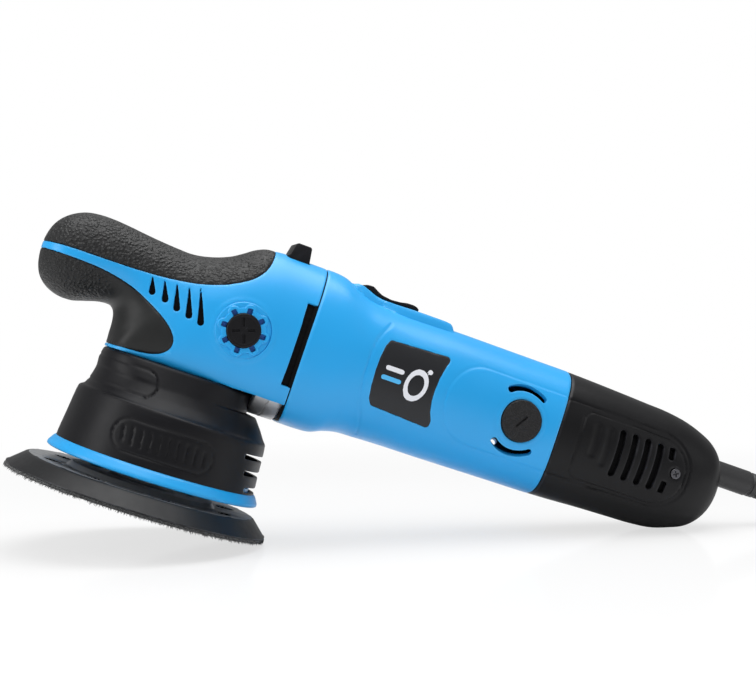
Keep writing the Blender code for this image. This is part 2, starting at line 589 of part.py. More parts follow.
solid("shroud_ring", *turned([(53.8, 25.0), (51.8, 25.0), (51.8, 15.3), (59.9, 15.3), (61.0, 16.2), (RING_R, 17.5), (60.2, 19.6), (58.4, 21.1), (53.8, 21.1)], 32), BLUE, bench)

# ---- gear housing ---------------------------------------------------------------------
gear_housing = solid("gear_housing", *turned([(0, 70.4), (24.4, 70.4), (24.4, 86.0), (26.8, 90.0), (26.4, 127.0), (16.0, 134.0), (0, 134.0)], 20, False), ALU, bench)
barrel = solid("join_barrel", *loft([[(8, y, AX + z) for y, z in [(23 * math.cos(2 * math.pi * j / 20), 23 * math.sin(2 * math.pi * j / 20)) for j in range(20)]], [(46, y, AX + z) for y, z in [(29.0 * math.cos(2 * math.pi * j / 20), 29.0 * math.sin(2 * math.pi * j / 20)) for j in range(20)]]]), ALU, bench, cutter=True)
FL = (0, 149.0, 67.6, 33.0, 2.3, 2.7)
flange = solid("join_flange", *loft([tube_ring(*((44.8,) + FL[1:])), tube_ring(*((51.4,) + FL[1:]))]), ALU, bench, cutter=True)
bosses = solid("join_bosses", *joined([moved(cyl(8.6, 18, 34.6, 16), along_v(BOSS_U, BOSS_W)), moved(cyl(8.6, -34.6, -18, 16), along_v(BOSS_U, BOSS_W))]), ALU, bench, cutter=True)
for b in (barrel, flange, bosses):
    boolean(gear_housing, b, "UNION")
cuts = [turned([(0, 60.0), (19.0, 60.0), (19.0, 88.4), (23.4, 91.0), (23.4, 124.0), (7.4, 124.0), (7.4, 140.0), (0, 140.0)], 20, False)]
cuts.append(moved(cyl(17.0, 5, 43.6, 20), along_u()))
cuts.append(moved(cyl(13.4, 42, 60, 20), along_u()))
cuts.append(moved(cyl(2.9, 124, 170, 10), Matrix.Translation((LOCK_U, 0, 0))))
cuts.append(moved(cyl(4.25, -40, -22, 12), along_v(BOSS_U, BOSS_W)))
cuts.append(moved(cyl(4.25, 22, 40, 12), along_v(BOSS_U, BOSS_W)))
for sv in (-1, 1):
    for sw in (-1, 1):
        cuts.append(moved(cyl(2.3, 35, 60, 10), Matrix.Translation((0, sv * SCREW_V, AX + sw * SCREW_W)) @ Matrix.Rotation(math.radians(90), 4, "Y")))
boolean(gear_housing, solid("cut_gear_housing", *joined(cuts), ALU, bench, cutter=True))
for i, (sv, sw) in enumerate(((-1, -1), (-1, 1), (1, -1), (1, 1))):
    solid("gearbox_screw_%d" % (i + 1), *turned([(0, 60.0), (1.9, 59.2), (1.9, 40.1), (3.6, 40.1), (3.6, 36.9), (0, 36.9)], 10, False), STEEL, bench, (0, sv * SCREW_V, AX + sw * SCREW_W), (0, math.radians(90), 0))
solid("bearing_cover", *turned([(8.6, 69.9), (8.6, 67.4), (25.6, 67.4), (25.6, 69.9)], 24), ALU, bench)

# handle bosses: indexing ring and blanking plug on each side
for side, tag in ((-1, "left"), (1, "right")):
    rot = (math.radians(90 if side < 0 else -90), 0, 0)
    ring = solid("handle_index_ring_" + tag, *turned([(9.9, 33.8), (16.0, 33.8), (16.0, 37.9), (15.6, 38.3), (9.9, 38.3)], 20), BLUE, bench, (BOSS_U, 0, BOSS_W), rot)
    pk = [moved(cyl(1.9, 36.6, 42, 6), Matrix.Translation((11.6 * math.cos(math.radians(45 * i)), 11.6 * math.sin(math.radians(45 * i)), 0))) for i in range(8)]
    boolean(ring, solid("cut_index_" + tag, *joined(pk), BLUE, bench, (BOSS_U, 0, BOSS_W), rot, cutter=True))
    solid("handle_plug_" + tag, *turned([(0, 24.5), (3.9, 24.5), (3.9, 35.0), (9.5, 35.0), (9.5, 38.9), (9.1, 39.3), (0, 39.3)], 24, False), BLACK, bench, (BOSS_U, 0, BOSS_W), rot)

# ---- spindle group: turns about the spindle axis --------------------------------------------
solid("spindle_shaft", *turned([(0, 132.8), (7.0, 132.3), (7.0, 104.4), (7.5, 104.4), (7.5, 59.6), (7.5, 56.4), (0, 56.4)], 20, False), STEEL, spindle_axis)


def bevel(r_in, r_out, z_in, z_out, teeth, depth, share, back, bore, hub=None, phase=0.0):
    """Straight bevel gear about Z: teeth on the cone from (r_in, z_in) to (r_out, z_out), a back face at z = back, and a bore."""
    tin, tout, rin, rout, bin_, bout = [], [], [], [], [], []
    cone = math.atan2(z_out - z_in, r_out - r_in)
    nr, nz = -math.sin(cone), math.cos(cone)
    up = 1 if back < max(z_in, z_out) else -1
    for t in range(teeth):
        p = 2 * math.pi / teeth
        for f, d in ((-share, 0), (0, 1), (share, 0)):
            a = phase + p * (t + f)
            for lst, r, z, s in ((tin, r_in, z_in, r_in / r_out), (tout, r_out, z_out, 1.0)):
                rr, zz = r + nr * up * depth * s * d, z + nz * up * depth * s * d
                lst.append((rr * math.cos(a), rr * math.sin(a), zz))
    n = len(tin)
    ang = [math.atan2(y, x) for x, y, _ in tout]
    back_out = [(r_out * math.cos(a), r_out * math.sin(a), back) for a in ang]
    back_in = [(bore * math.cos(a), bore * math.sin(a), back) for a in ang]
    top_in = [(bore * math.cos(a), bore * math.sin(a), z_in) for a in ang]
    return loft([tin, tout, back_out, back_in, top_in], closed=True)


# pitch cones meet where the axes cross, at (0, AX); the gear lies under the pinion
solid("bevel_gear", *bevel(GEAR_IN, GEAR_OUT, AX - GEAR_IN / RATIO - 1.0, AX - GEAR_OUT / RATIO - 1.35, GEAR_T, 1.7, 0.30, 95.0, 7.9), STEEL, spindle_axis)

# eccentric: a hub with an off-centre bore for the pad bearings, and a counterweight on the heavy side
ecc_hub = solid("eccentric_weight", *turned([(0, 24.2), (18.0, 24.2), (18.0, 55.0), (14.0, 58.0), (14.0, 66.4), (0, 66.4)], 20, False), STEEL, spindle_axis)
fan = [(0, 0)] + [(36.0 * math.cos(math.radians(a)), 36.0 * math.sin(math.radians(a))) for a in range(-72, 73, 12)]
w1 = loft([[(x, y, 26.0) for x, y in fan], [(x, y, 40.0) for x, y in fan]])
wt = solid("join_counterweight", *w1, STEEL, spindle_axis, cutter=True)
boolean(ecc_hub, wt, "UNION")
boolean(ecc_hub, solid("cut_ecc", *joined([moved(cyl(14.3, 10, 50.4, 20), Matrix.Translation((-ECC, 0, 0))), cyl(7.8, 56.0, 80, 16)]), STEEL, spindle_axis, cutter=True))

# ---- pad group: turns freely about the offset axis ---------------------------------------------
solid("pad_arbor", *turned([(0, 50.0), (5.7, 50.0), (5.7, 23.6), (12.0, 23.6), (12.0, 13.2), (5.6, 13.2), (5.6, 5.0), (0, 5.0)], 20, False), STEEL, pad_axis)
plate = solid("backing_plate", *turned([(6.0, 3.2), (PAD_R, 2.1), (PAD_R, 2.6), (66.8, 11.2), (65.6, 11.9), (60, 11.5), (43.0, 10.7), (41.0, 12.6), (38.5, 12.9), (31.5, 12.9), (30.0, 11.6), (20, 11.6), (18.5, 12.8), (6.0, 12.8)], PAD_N, phase=math.pi / PAD_N), FOAM, pad_axis)
holes = [moved(cyl(5.0, -5, 30, 6), Matrix.Translation((52.0 * math.cos(math.radians(13 + 45 * i)), 52.0 * math.sin(math.radians(13 + 45 * i)), 0))) for i in range(8)]
boolean(plate, solid("cut_pad_holes", *joined(holes), FOAM, pad_axis, cutter=True))
solid("hook_face", *turned([(0, 0), (PAD_R, 0), (PAD_R, 1.8), (0, 1.8)], PAD_N, False, math.pi / PAD_N), FOAM, pad_axis)


def bearing(name, bore, outer_r, z0, z1, parent, loc=(0, 0, 0)):
    c = min(0.5, (z1 - z0) / 6)
    return solid(name, *turned([(bore, z0), (outer_r - c, z0), (outer_r, z0 + c), (outer_r, z1 - c), (outer_r - c, z1), (bore, z1)], 20), STEEL, parent, loc)


bearing("spindle_bearing_lower", 8.0, 18.6, 70.6, 81.6, bench)
bearing("pad_bearing", 6.0, 14.0, 24.6, 44.6, spindle_axis, (-ECC, 0, 0))

# ---- armature group: turns about the motor axis (local Z = u) ----------------------------------------
solid("armature_shaft", *turned([(0, 12.0), (2.6, 12.0), (2.6, 25.0), (4.7, 25.0), (4.7, 196.0), (3.6, 196.0), (3.6, 211.0), (0, 211.0)], 14, False), STEEL, motor_axis)

def pinion():
    """Ten teeth standing out of a slim cone; the root cone keeps clear of the gear's teeth."""
    rin, rout = GEAR_IN / RATIO, GEAR_OUT / RATIO
    rings = []
    for z, r in ((GEAR_IN, rin), (GEAR_OUT, rout)):
        ring = []
        s = r / rout
        for t in range(PINION_T):
            p = 2 * math.pi / PINION_T
            for f, d in ((-0.5, -1.15), (-0.13, 1.0), (0.13, 1.0)):
                a = math.pi / PINION_T + p * (t + f)
                rr = r + d * 1.35 * s
                ring.append((rr * math.cos(a), rr * math.sin(a), z))
        rings.append(ring)
    ang = [math.atan2(y, x) for x, y, _ in rings[0]]
    rings.append([(4.6 * math.cos(a), 4.6 * math.sin(a), 24.6) for a in ang])
    rings.append([(2.9 * math.cos(a), 2.9 * math.sin(a), 24.6) for a in ang])
    rings.append([(2.9 * math.cos(a), 2.9 * math.sin(a), GEAR_IN) for a in ang])
    return loft(rings, closed=True)


solid("bevel_pinion", *pinion(), STEEL, motor_axis)

# lock collar: four notches that the lock pin drops into
NOTCH = 4
ring_pts = []
for t in range(NOTCH):
    p = 2 * math.pi / NOTCH
    for k in range(5):
        a = p * (t + 0.16 + 0.68 * k / 4)
        ring_pts.append((14.6 * math.cos(a), 14.6 * math.sin(a)))
    h = 3.1
    a = p * (t + 1)
    ca, sa = math.cos(a), math.sin(a)
    for x, y in ((10.4, -h), (10.4, h)):
        ring_pts.append((x * ca - y * sa, x * sa + y * ca))
n = len(ring_pts)
ang = [math.atan2(y, x) for x, y in ring_pts]
rings = [[(x, y, z) for x, y in ring_pts] for z in (37.2, 41.8)]
rings += [[(5.1 * math.cos(a), 5.1 * math.sin(a), z) for a in ang] for z in (41.8, 37.2)]
collar = solid("lock_collar", *loft(rings, closed=True), STEEL, motor_axis, rot=(0, 0, math.pi))
bearing("armature_bearing_front", 5.1, 13.0, 43.9, 51.2, motor_axis)
bearing("armature_bearing_rear", 4.0, 11.0, 199.0, 206.0, motor_axis)

# fan: a hub, a disc and blades
FAN_B = 7
fan_ob = solid("motor_fan", *turned([(5.1, 66.0), (11.0, 66.0), (11.0, 70.0), (31.5, 70.0), (31.5, 71.8), (5.1, 71.8)], 21), BLACK, motor_axis)
blades = []
for i in range(FAN_B):
    blades.append(moved(box((10.0, -0.8, 64.4), (31.0, 0.8, 70.6)), Matrix.Rotation(2 * math.pi * (i + 0.5) / FAN_B, 4, "Z")))
boolean(fan_ob, solid("join_blades", *joined(blades), BLACK, motor_axis, cutter=True), "UNION")

core_pts = []
SLOTS = 12
for t in range(SLOTS):
    p = 2 * math.pi / SLOTS
    for f, r in ((-0.38, 21.4), (0.0, 21.6), (0.38, 21.4), (0.42, 15.5), (0.58, 15.5)):
        core_pts.append((r * math.cos(p * (t + f)), r * math.sin(p * (t + f))))
ang = [math.atan2(y, x) for x, y in core_pts]
rings = [[(x, y, z) for x, y in core_pts] for z in (98, 150)] + [[(5.1 * math.cos(a), 5.1 * math.sin(a), z) for a in ang] for z in (150, 98)]
solid("armature_core", *loft(rings, closed=True), STEEL, motor_axis)
winding = solid("armature_winding", *turned([(5.1, 86.0), (12.0, 85.0), (20.0, 88.5), (20.0, 97.4), (5.1, 97.4)], 24), COPPER, motor_axis)
rear_turns = solid("join_rear_turns", *turned([(5.1, 150.6), (20.0, 150.6), (20.0, 160.0), (12.0, 165.5), (5.1, 166.5)], 24), COPPER, motor_axis, cutter=True)
bars = [moved(box((16.2, -0.4, 96.0), (19.6, 0.4, 152.0)), Matrix.Rotation(2 * math.pi * (i + 0.5) / SLOTS, 4, "Z")) for i in range(0, SLOTS, 2)]
boolean(winding, rear_turns, "UNION")
boolean(winding, solid("join_bars", *joined(bars), COPPER, motor_axis, cutter=True), "UNION")
solid("commutator", *turned([(5.1, 173.0), (14.0, 173.0), (14.0, 175.6), (12.6, 176.4), (12.6, 194.6), (5.1, 194.6)], 24), COPPER, motor_axis)

# ---- stator -------------------------------------------------------------------------------------
st = [(32.8 * math.cos(2 * math.pi * j / 32), 32.8 * math.sin(2 * math.pi * j / 32)) for j in range(32)]
si = []
for j in range(32):
    a = 2 * math.pi * j / 32
    deg = math.degrees(a) % 180
    r = 22.6 if abs(deg - 90) < 50 else 28.6      # pole faces above and below, clear at the sides for the coils
    si.append((r * math.cos(a), r * math.sin(a)))
rings = [[(x, y, z) for x, y in st] for z in (98, 150)] + [[(x, y, z) for x, y in si] for z in (150, 98)]
solid("stator_core", *loft(rings, closed=True), STEEL, motor_axis, rot=(0, 0, math.pi / 2))
for sgn, tag in ((1, "upper"), (-1, "lower")):
    pts = []
    for k in range(9):
        a = math.radians(-62 + 124 * k / 8)
        pts.append((31.4 * math.cos(a), 31.4 * math.sin(a)))
    for k in range(9):
        a = math.radians(62 - 124 * k / 8)
        pts.append((24.0 * math.cos(a), 24.0 * math.sin(a)))
    # end turns of the field coil, just behind the stack
    solid("field_coil_" + tag, *loft([[(x, y, 150.6) for x, y in pts], [(x * 0.985, y * 0.985, 161) for x, y in pts]]), COPPER, motor_axis, rot=(0, 0, math.pi if sgn > 0 else 0))

# ---- brushes ----------------------------------------------------------------------------------------
for side, tag in ((-1, "left"), (1, "right")):
    rot = (math.radians(90 if side < 0 else -90), 0, 0)
    at = (BRUSH_U, 0, AX)
    solid("carbon_brush_" + tag, *box((-4.2, -3.0, 13.0), (4.2, 3.0, 27.0)), CARBON, bench, at, rot)
    holder = solid("brush_holder_" + tag, *box((-6.3, -5.1, 15.5), (6.3, 5.1, 32.6)), COPPER, bench, at, rot)
    boolean(holder, solid("cut_holder_" + tag, *box((-4.6, -3.4, 10), (4.6, 3.4, 40)), COPPER, bench, at, rot, cutter=True))
    cap = solid("brush_cap_" + tag, *turned([(0, 33.0), (12.1, 33.0), (12.1, 37.5), (11.6, 38.0), (0, 38.0)], 28, False), BLACK, bench, at, rot)

# ---- spindle lock ----------------------------------------------------------------------------------
lock = empty("lock_axis", bench, (LOCK_U, 0, 0))
btn = [[(-6.4, -11.6, 153.0), (5.8, -11.6, 153.0), (5.8, 11.6, 153.0), (-6.4, 11.6, 153.0)],
       [(-6.4, -11.6, 158.6), (5.8, -11.6, 158.6), (5.8, 11.6, 158.6), (-6.4, 11.6, 158.6)],
       [(-4.6, -10.0, 167.6), (3.9, -10.0, 167.6), (3.9, 10.0, 167.6), (-4.6, 10.0, 167.6)],
       [(-3.8, -8.9, 168.3), (3.1, -8.9, 168.3), (3.1, 8.9, 168.3), (-3.8, 8.9, 168.3)]]
solid("lock_button", *loft(btn), BLACK, lock)
solid("lock_pin", *turned([(0, AX + 15.1), (2.0, AX + 15.1), (2.4, AX + 15.6), (2.4, 152.6), (0, 152.6)], 12, False), STEEL, lock)
rings = []
turns, steps, r, wr = 4.0, 8, 3.9, 0.45
N = int(turns * steps)
for i in range(N + 1):
    a = 2 * math.pi * i / steps
    z = 146.4 + 5.9 * i / N
    c = Vector((r * math.cos(a), r * math.sin(a), z))
    rad = Vector((math.cos(a), math.sin(a), 0))
    rings.append([tuple(c + rad * (wr * math.cos(t)) + Vector((0, 0, 1)) * (wr * math.sin(t))) for t in (0.785, 2.356, 3.927, 5.498)])
solid("lock_spring", *loft(rings), STEEL, lock)

# ---- switch -------------------------------------------------------------------------------------------
sw = empty("switch_axis", bench, (98, 0, 154))
top_line = [(80.3, 158.9), (82.3, 159.8), (86.4, 160.1), (88.6, 158.6), (92.5, 156.8), (98.5, 155.9), (104.5, 156.3), (108.5, 157.1), (113.0, 157.1), (115.6, 156.2), (116.2, 154.6)]
bot_line = [(80.9, 158.4), (83.5, 157.0), (86.5, 155.8), (90.0, 154.9), (94.0, 154.4), (104, 154.3), (116.2, 154.2)]
outline = [(u - 98, w - 154) for u, w in top_line + list(reversed(bot_line))]
slider = solid("switch_slider", *prism(outline, -7.6, 7.6), BLACK, sw)
boolean(slider, solid("join_stem", *box((-7.0, -3.0, -6.9), (8.0, 3.0, 1.2)), BLACK, sw, cutter=True), "UNION")
solid("switch_link", *box((-6.6, -2.6, -8.3), (122.6, 2.6, -7.3)), STEEL, sw)
solid("switch_module", *box((222, -11, 124), (246, 7, 145.0)), BLACK, bench)

# ---- speed control ----------------------------------------------------------------------------------------
dial = empty("dial_axis", bench, (232.0, 19.6, AX + 19.6), (0, math.radians(90), 0))
ser = []
for i in range(40):
    a = 2 * math.pi * i / 40
    r = 11.0 if i % 2 else 10.6
    ser.append((r * math.cos(a), r * math.sin(a)))
rings = [[(x, y, z) for x, y in ser] for z in (-3.4, 3.4)]
solid("speed_dial", *loft(rings), BLACK, dial)
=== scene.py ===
import json
import math
import random

import bmesh
import bpy
import numpy as np
from mathutils import Matrix, Vector


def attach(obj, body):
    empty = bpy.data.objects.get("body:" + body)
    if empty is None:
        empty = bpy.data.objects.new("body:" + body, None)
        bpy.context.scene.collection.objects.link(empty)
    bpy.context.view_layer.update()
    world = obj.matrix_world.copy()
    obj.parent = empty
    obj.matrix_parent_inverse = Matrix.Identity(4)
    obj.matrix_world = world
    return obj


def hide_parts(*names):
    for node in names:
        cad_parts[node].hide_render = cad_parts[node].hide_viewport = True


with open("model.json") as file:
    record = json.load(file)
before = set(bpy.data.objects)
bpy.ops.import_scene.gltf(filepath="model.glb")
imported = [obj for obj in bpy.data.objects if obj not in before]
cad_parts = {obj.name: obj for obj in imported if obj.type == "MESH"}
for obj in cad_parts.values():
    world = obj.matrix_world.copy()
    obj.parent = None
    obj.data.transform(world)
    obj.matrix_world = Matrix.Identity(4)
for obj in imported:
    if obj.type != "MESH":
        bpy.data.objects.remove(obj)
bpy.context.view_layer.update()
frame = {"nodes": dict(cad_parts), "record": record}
NODES = frame["nodes"]

# ---- the tool's own frame inside the row frame: u along the motor, v across, w up the spindle -----
TILT = math.radians(19.1)
PAD_R, ECC, PAD_N = 75.0, 4.0, 32
AX = 112.4
BENCH_X = -189.67
BENCH_Z = (PAD_R * math.cos(math.pi / PAD_N) - ECC) * math.sin(TILT)
CS, SN = math.cos(TILT), math.sin(TILT)
BRUSH_U = 185.1
BOSS_U, BOSS_W = 17.6, 109.3
LOCK_U = 39.5
CORD_W = 123.3
HEAD_FLOOR = 77.8
SEAM_F, SEAM_F_BOW = 56.8, 4.4
SEAM_R, SEAM_R_BOW = 216.6, 9.0


def to_row(p):
    """Tool frame, mm (n x 3) to row frame, m."""
    p = np.asarray(p, float)
    u, v, w = p[..., 0], p[..., 1], p[..., 2]
    return np.stack([BENCH_X + u * CS + w * SN, v, BENCH_Z - u * SN + w * CS], -1) / 1000.0


# ---- two-dimensional signed distances (negative inside), in the side view (u, w) ------------------
def sd_poly(pts, x, y):
    pts = np.asarray(pts, float)
    a, b = pts, np.roll(pts, -1, 0)
    shape = x.shape
    x, y = x.ravel(), y.ravel()
    best = np.full(x.shape, 1e9)
    inside = np.zeros(x.shape, bool)
    for (ax, ay), (bx, by) in zip(a, b):
        ex, ey = bx - ax, by - ay
        t = np.clip(((x - ax) * ex + (y - ay) * ey) / max(ex * ex + ey * ey, 1e-12), 0, 1)
        best = np.minimum(best, np.hypot(x - ax - t * ex, y - ay - t * ey))
        cross = ((ay > y) != (by > y)) & (x < (bx - ax) * (y - ay) / ((by - ay) if by != ay else 1e-12) + ax)
        inside ^= cross
    return np.where(inside, -best, best).reshape(shape)


def sd_line(pts, x, y):
    """Unsigned distance to an open polyline."""
    best = np.full(x.shape, 1e9)
    for (ax, ay), (bx, by) in zip(pts[:-1], pts[1:]):
        ex, ey = bx - ax, by - ay
        t = np.clip(((x - ax) * ex + (y - ay) * ey) / max(ex * ex + ey * ey, 1e-12), 0, 1)
        best = np.minimum(best, np.hypot(x - ax - t * ex, y - ay - t * ey))
    return best


def sd_seg(x, y, ax, ay, bx, by, r):
    return sd_line([(ax, ay), (bx, by)], x, y) - r


def sd_box(x, y, cx, cy, hx, hy, r=0.0):
    dx, dy = np.abs(x - cx) - hx + r, np.abs(y - cy) - hy + r
    return np.hypot(np.maximum(dx, 0), np.maximum(dy, 0)) + np.minimum(np.maximum(dx, dy), 0) - r


def sd_circle(x, y, cx, cy, r):
    return np.hypot(x - cx, y - cy) - r


def sd_arc(x, y, cx, cy, R, mid, half, r):
    """Distance to a thick arc of radius R, centred on angle mid, half width half (radians), thickness 2r."""
    ang = np.arctan2(y - cy, x - cx) - mid
    ang = (ang + np.pi) % (2 * np.pi) - np.pi
    q = np.clip(ang, -half, half) + mid
    return np.hypot(x - cx - R * np.cos(q), y - cy - R * np.sin(q)) - r


def smooth(t):
    t = np.clip(t, 0, 1)
    return t * t * (3 - 2 * t)


def groove(d, width, depth):
    """A soft groove where |d| is under width."""
    return -depth * (0.5 + 0.5 * np.cos(np.pi * np.clip(d / width, -1, 1)))


def plateau(d, edge, height):
    """height inside (d < 0), easing to nothing over edge across the outline."""
    return height * smooth(0.5 - d / edge)


def roll(d, r):
    """Rounds an edge over: d is the distance in from the edge."""
    t = np.clip(1 - d / r, 0, 1)
    return -r * (1 - np.sqrt(np.maximum(1 - t * t, 0)))


def smax(a, b, k):
    h = np.clip(0.5 + 0.5 * (a - b) / k, 0, 1)
    return b + (a - b) * h + k * h * (1 - h)


def crom(xs, ys, x):
    """Catmull-Rom through (xs, ys) with uneven spacing; ys may have columns."""
    xs, ys = np.asarray(xs, float), np.asarray(ys, float)
    if ys.ndim == 1:
        ys = ys[:, None]
    m = np.zeros_like(ys)
    d = (ys[1:] - ys[:-1]) / (xs[1:] - xs[:-1])[:, None]
    h = xs[1:] - xs[:-1]
    m[1:-1] = (d[:-1] * h[1:, None] + d[1:] * h[:-1, None]) / (h[1:] + h[:-1])[:, None]
    m[0], m[-1] = d[0], d[-1]
    i = np.clip(np.searchsorted(xs, x, side="right") - 1, 0, len(xs) - 2)
    t = ((x - xs[i]) / (xs[i + 1] - xs[i]))[:, None]
    hh = (xs[i + 1] - xs[i])[:, None]
    return (2 * t**3 - 3 * t**2 + 1) * ys[i] + (t**3 - 2 * t**2 + t) * hh * m[i] + (-2 * t**3 + 3 * t**2) * ys[i + 1] + (t**3 - t**2) * hh * m[i + 1]


def even(ring, k, closed=True):
    """Resamples each half of a ring (first point at the top, half way at the bottom) to even spacing."""
    n = len(ring) // 2
    out = []
    for half in (ring[: n + 1], np.vstack([ring[n:], ring[:1]])):
        s = np.r_[0, np.cumsum(np.linalg.norm(np.diff(half, axis=0), axis=1))]
        if s[-1] < 1e-9:
            out.append(np.repeat(half[:1], k // 2, 0))
            continue
        t = np.linspace(0, s[-1], k // 2 + 1)[:-1]
        out.append(np.stack([np.interp(t, s, half[:, c]) for c in range(3)], 1))
    return np.vstack(out)


def grid_normals(P, wrap=True):
    du = np.gradient(P, axis=0)
    if wrap:
        dv = (np.roll(P, -1, 1) - np.roll(P, 1, 1)) / 2
    else:
        dv = np.gradient(P, axis=1)
    n = np.cross(dv, du)
    L = np.linalg.norm(n, axis=-1, keepdims=True)
    n = n / np.maximum(L, 1e-12)
    return n


# ---- from grids to meshes ------------------------------------------------------------------------
def clip_grid(P, N, s, wrap=True, snap=0.12):
    """The part of a grid where s >= 0, cut exactly along s = 0. Returns verts, normals, faces."""
    nr, na = s.shape
    s = np.where(np.abs(s) < snap, 0.0, s)
    idx = -np.ones((nr, na), int)
    verts, norms, faces = [], [], []
    need = s >= 0
    flat = np.argwhere(need)
    idx[need] = np.arange(len(flat))
    V = P[need]
    M = N[need]
    extra_v, extra_n, cut = [], [], {}
    cols = na if wrap else na - 1
    j0 = np.arange(cols)
    j1 = (j0 + 1) % na
    full = need[:-1][:, j0] & need[:-1][:, j1] & need[1:][:, j0] & need[1:][:, j1]
    part = (need[:-1][:, j0] | need[:-1][:, j1] | need[1:][:, j0] | need[1:][:, j1]) & ~full
    # a cell whose corners all sit on the cut is outside it
    zero = (s[:-1][:, j0] == 0) & (s[:-1][:, j1] == 0) & (s[1:][:, j0] == 0) & (s[1:][:, j1] == 0)
    full &= ~zero
    I, J = np.nonzero(full)
    F = np.stack([idx[I, j0[J]], idx[I, j1[J]], idx[I + 1, j1[J]], idx[I + 1, j0[J]]], 1)
    faces = [tuple(f) for f in F.tolist()]
    base = len(V)

    def crossing(a, b):
        key = (a, b) if a < b else (b, a)
        if key not in cut:
            sa, sb = s[a], s[b]
            t = sa / (sa - sb)
            extra_v.append(P[a] * (1 - t) + P[b] * t)
            n = N[a] * (1 - t) + N[b] * t
            extra_n.append(n / max(np.linalg.norm(n), 1e-9))
            cut[key] = base + len(extra_v) - 1
        return cut[key]

    for i, j in zip(*np.nonzero(part)):
        c = [(i, j), (i, (j + 1) % na), (i + 1, (j + 1) % na), (i + 1, j)]
        poly = []
        for a, b in zip(c, c[1:] + c[:1]):
            if s[a] >= 0:
                poly.append(idx[a])
            if (s[a] > 0 and s[b] < 0) or (s[a] < 0 and s[b] > 0):
                poly.append(crossing(a, b))
        poly = [p for k, p in enumerate(poly) if p != poly[k - 1]]
        if len(poly) >= 3:
            if all(p < base and s[tuple(flat[p])] == 0 for p in poly):
                continue
            faces.append(tuple(int(p) for p in poly))
    if extra_v:
        V = np.vstack([V, np.array(extra_v)])
        M = np.vstack([M, np.array(extra_n)])
    return V, M, faces


def add_rim(V, M, faces, depth, slant=0.0):
    """Turns every open edge inwards by depth along the surface's normal, so that a skin shows its thickness."""
    count = {}
    for f in faces:
        for a, b in zip(f, f[1:] + f[:1]):
            k = (a, b) if a < b else (b, a)
            count[k] = count.get(k, 0) + 1
    new, out = {}, []
    extra = []
    for f in faces:
        for a, b in zip(f, f[1:] + f[:1]):
            k = (a, b) if a < b else (b, a)
            if count[k] == 1:
                for p in (a, b):
                    if p not in new:
                        new[p] = len(V) + len(extra)
                        extra.append(V[p] - M[p] * depth)
                out.append((b, a, new[a], new[b]))
    if extra:
        V = np.vstack([V, np.array(extra)])
    return V, faces + out


def make(name, V, faces, mat, body, replaces=(), sharp=38, row=False):
    me = bpy.data.meshes.new(name)
    co = np.asarray(V, float) if row else to_row(V)
    me.from_pydata(co.tolist(), [], [tuple(int(i) for i in f) for f in faces])
    me.validate()
    bm = bmesh.new()
    bm.from_mesh(me)
    loose = [v for v in bm.verts if not v.link_faces]
    bmesh.ops.delete(bm, geom=loose, context="VERTS")
    bmesh.ops.recalc_face_normals(bm, faces=bm.faces)
    bm.to_mesh(me)
    bm.free()
    me.shade_smooth()
    me.set_sharp_from_angle(angle=math.radians(sharp))
    me.materials.append(mat)
    ob = bpy.data.objects.new(name, me)
    bpy.context.scene.collection.objects.link(ob)
    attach(ob, body)
    if replaces:
        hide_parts(*replaces)
    return ob


def skin(name, P, N, s, disp, mat, body, rim=2.2, wrap=True, replaces=(), sharp=38):
    V, M, F = clip_grid(P + N * disp[..., None], N, s, wrap)
    if rim:
        V, F = add_rim(V, M, F, rim)
    return make(name, V, F, mat, body, replaces, sharp)


def joined(parts):
    verts, faces = [], []
    for v, f in parts:
        k = len(verts)
        verts += [tuple(p) for p in v]
        faces += [tuple(i + k for i in q) for q in f]
    return verts, faces


# local frames (all in mm, tool frame): columns are the local x, y, z axes
def place(V, x, y, z, o):
    V = np.asarray(V, float)
    return V[:, :1] * np.asarray(x, float) + V[:, 1:2] * np.asarray(y, float) + V[:, 2:3] * np.asarray(z, float) + np.asarray(o, float)


def side_frame(V, side, u, w):
    """Local z out of the side face (side -1 is the left), local x along u, local y up."""
    V = np.asarray(V, float)
    return np.stack([u + V[:, 0], side * V[:, 2], w + V[:, 1]], 1)


def polar(radii, n, height, closed_back=None, spin=0.0):
    """A disc or ring as rings of points at the given radii; height(r, a, x, y) gives z. closed_back adds a wall down to that z."""
    a = spin + np.arange(n) * 2 * np.pi / n
    verts, faces, rings = [], [], []
    for r in radii:
        if r < 1e-6:
            rings.append([len(verts)])
            z = height(np.array([0.0]), np.array([0.0]), np.array([0.0]), np.array([0.0]))
            verts.append((0.0, 0.0, float(z[0])))
        else:
            x, y = r * np.cos(a), r * np.sin(a)
            z = height(np.full(n, r), a, x, y)
            rings.append(list(range(len(verts), len(verts) + n)))
            verts += list(zip(x, y, z))
    if closed_back is not None:
        for r in (radii[-1], max(radii[-1] - 0.8, 0.1)):
            x, y = r * np.cos(a), r * np.sin(a)
            rings.append(list(range(len(verts), len(verts) + n)))
            verts += list(zip(x, y, np.full(n, closed_back)))
        if radii[0] > 1e-6:
            x, y = radii[0] * np.cos(a), radii[0] * np.sin(a)
            rings.insert(0, list(range(len(verts), len(verts) + n)))
            verts += list(zip(x, y, np.full(n, closed_back)))
    for p, q in zip(rings, rings[1:]):
        for i in range(n):
            j = (i + 1) % n
            if len(p) == 1:
                faces.append((p[0], q[i], q[j]))
            elif len(q) == 1:
                faces.append((p[i], q[0], p[j]))
            else:
                faces.append((p[i], q[i], q[j], p[j]))
    return np.array(verts), faces


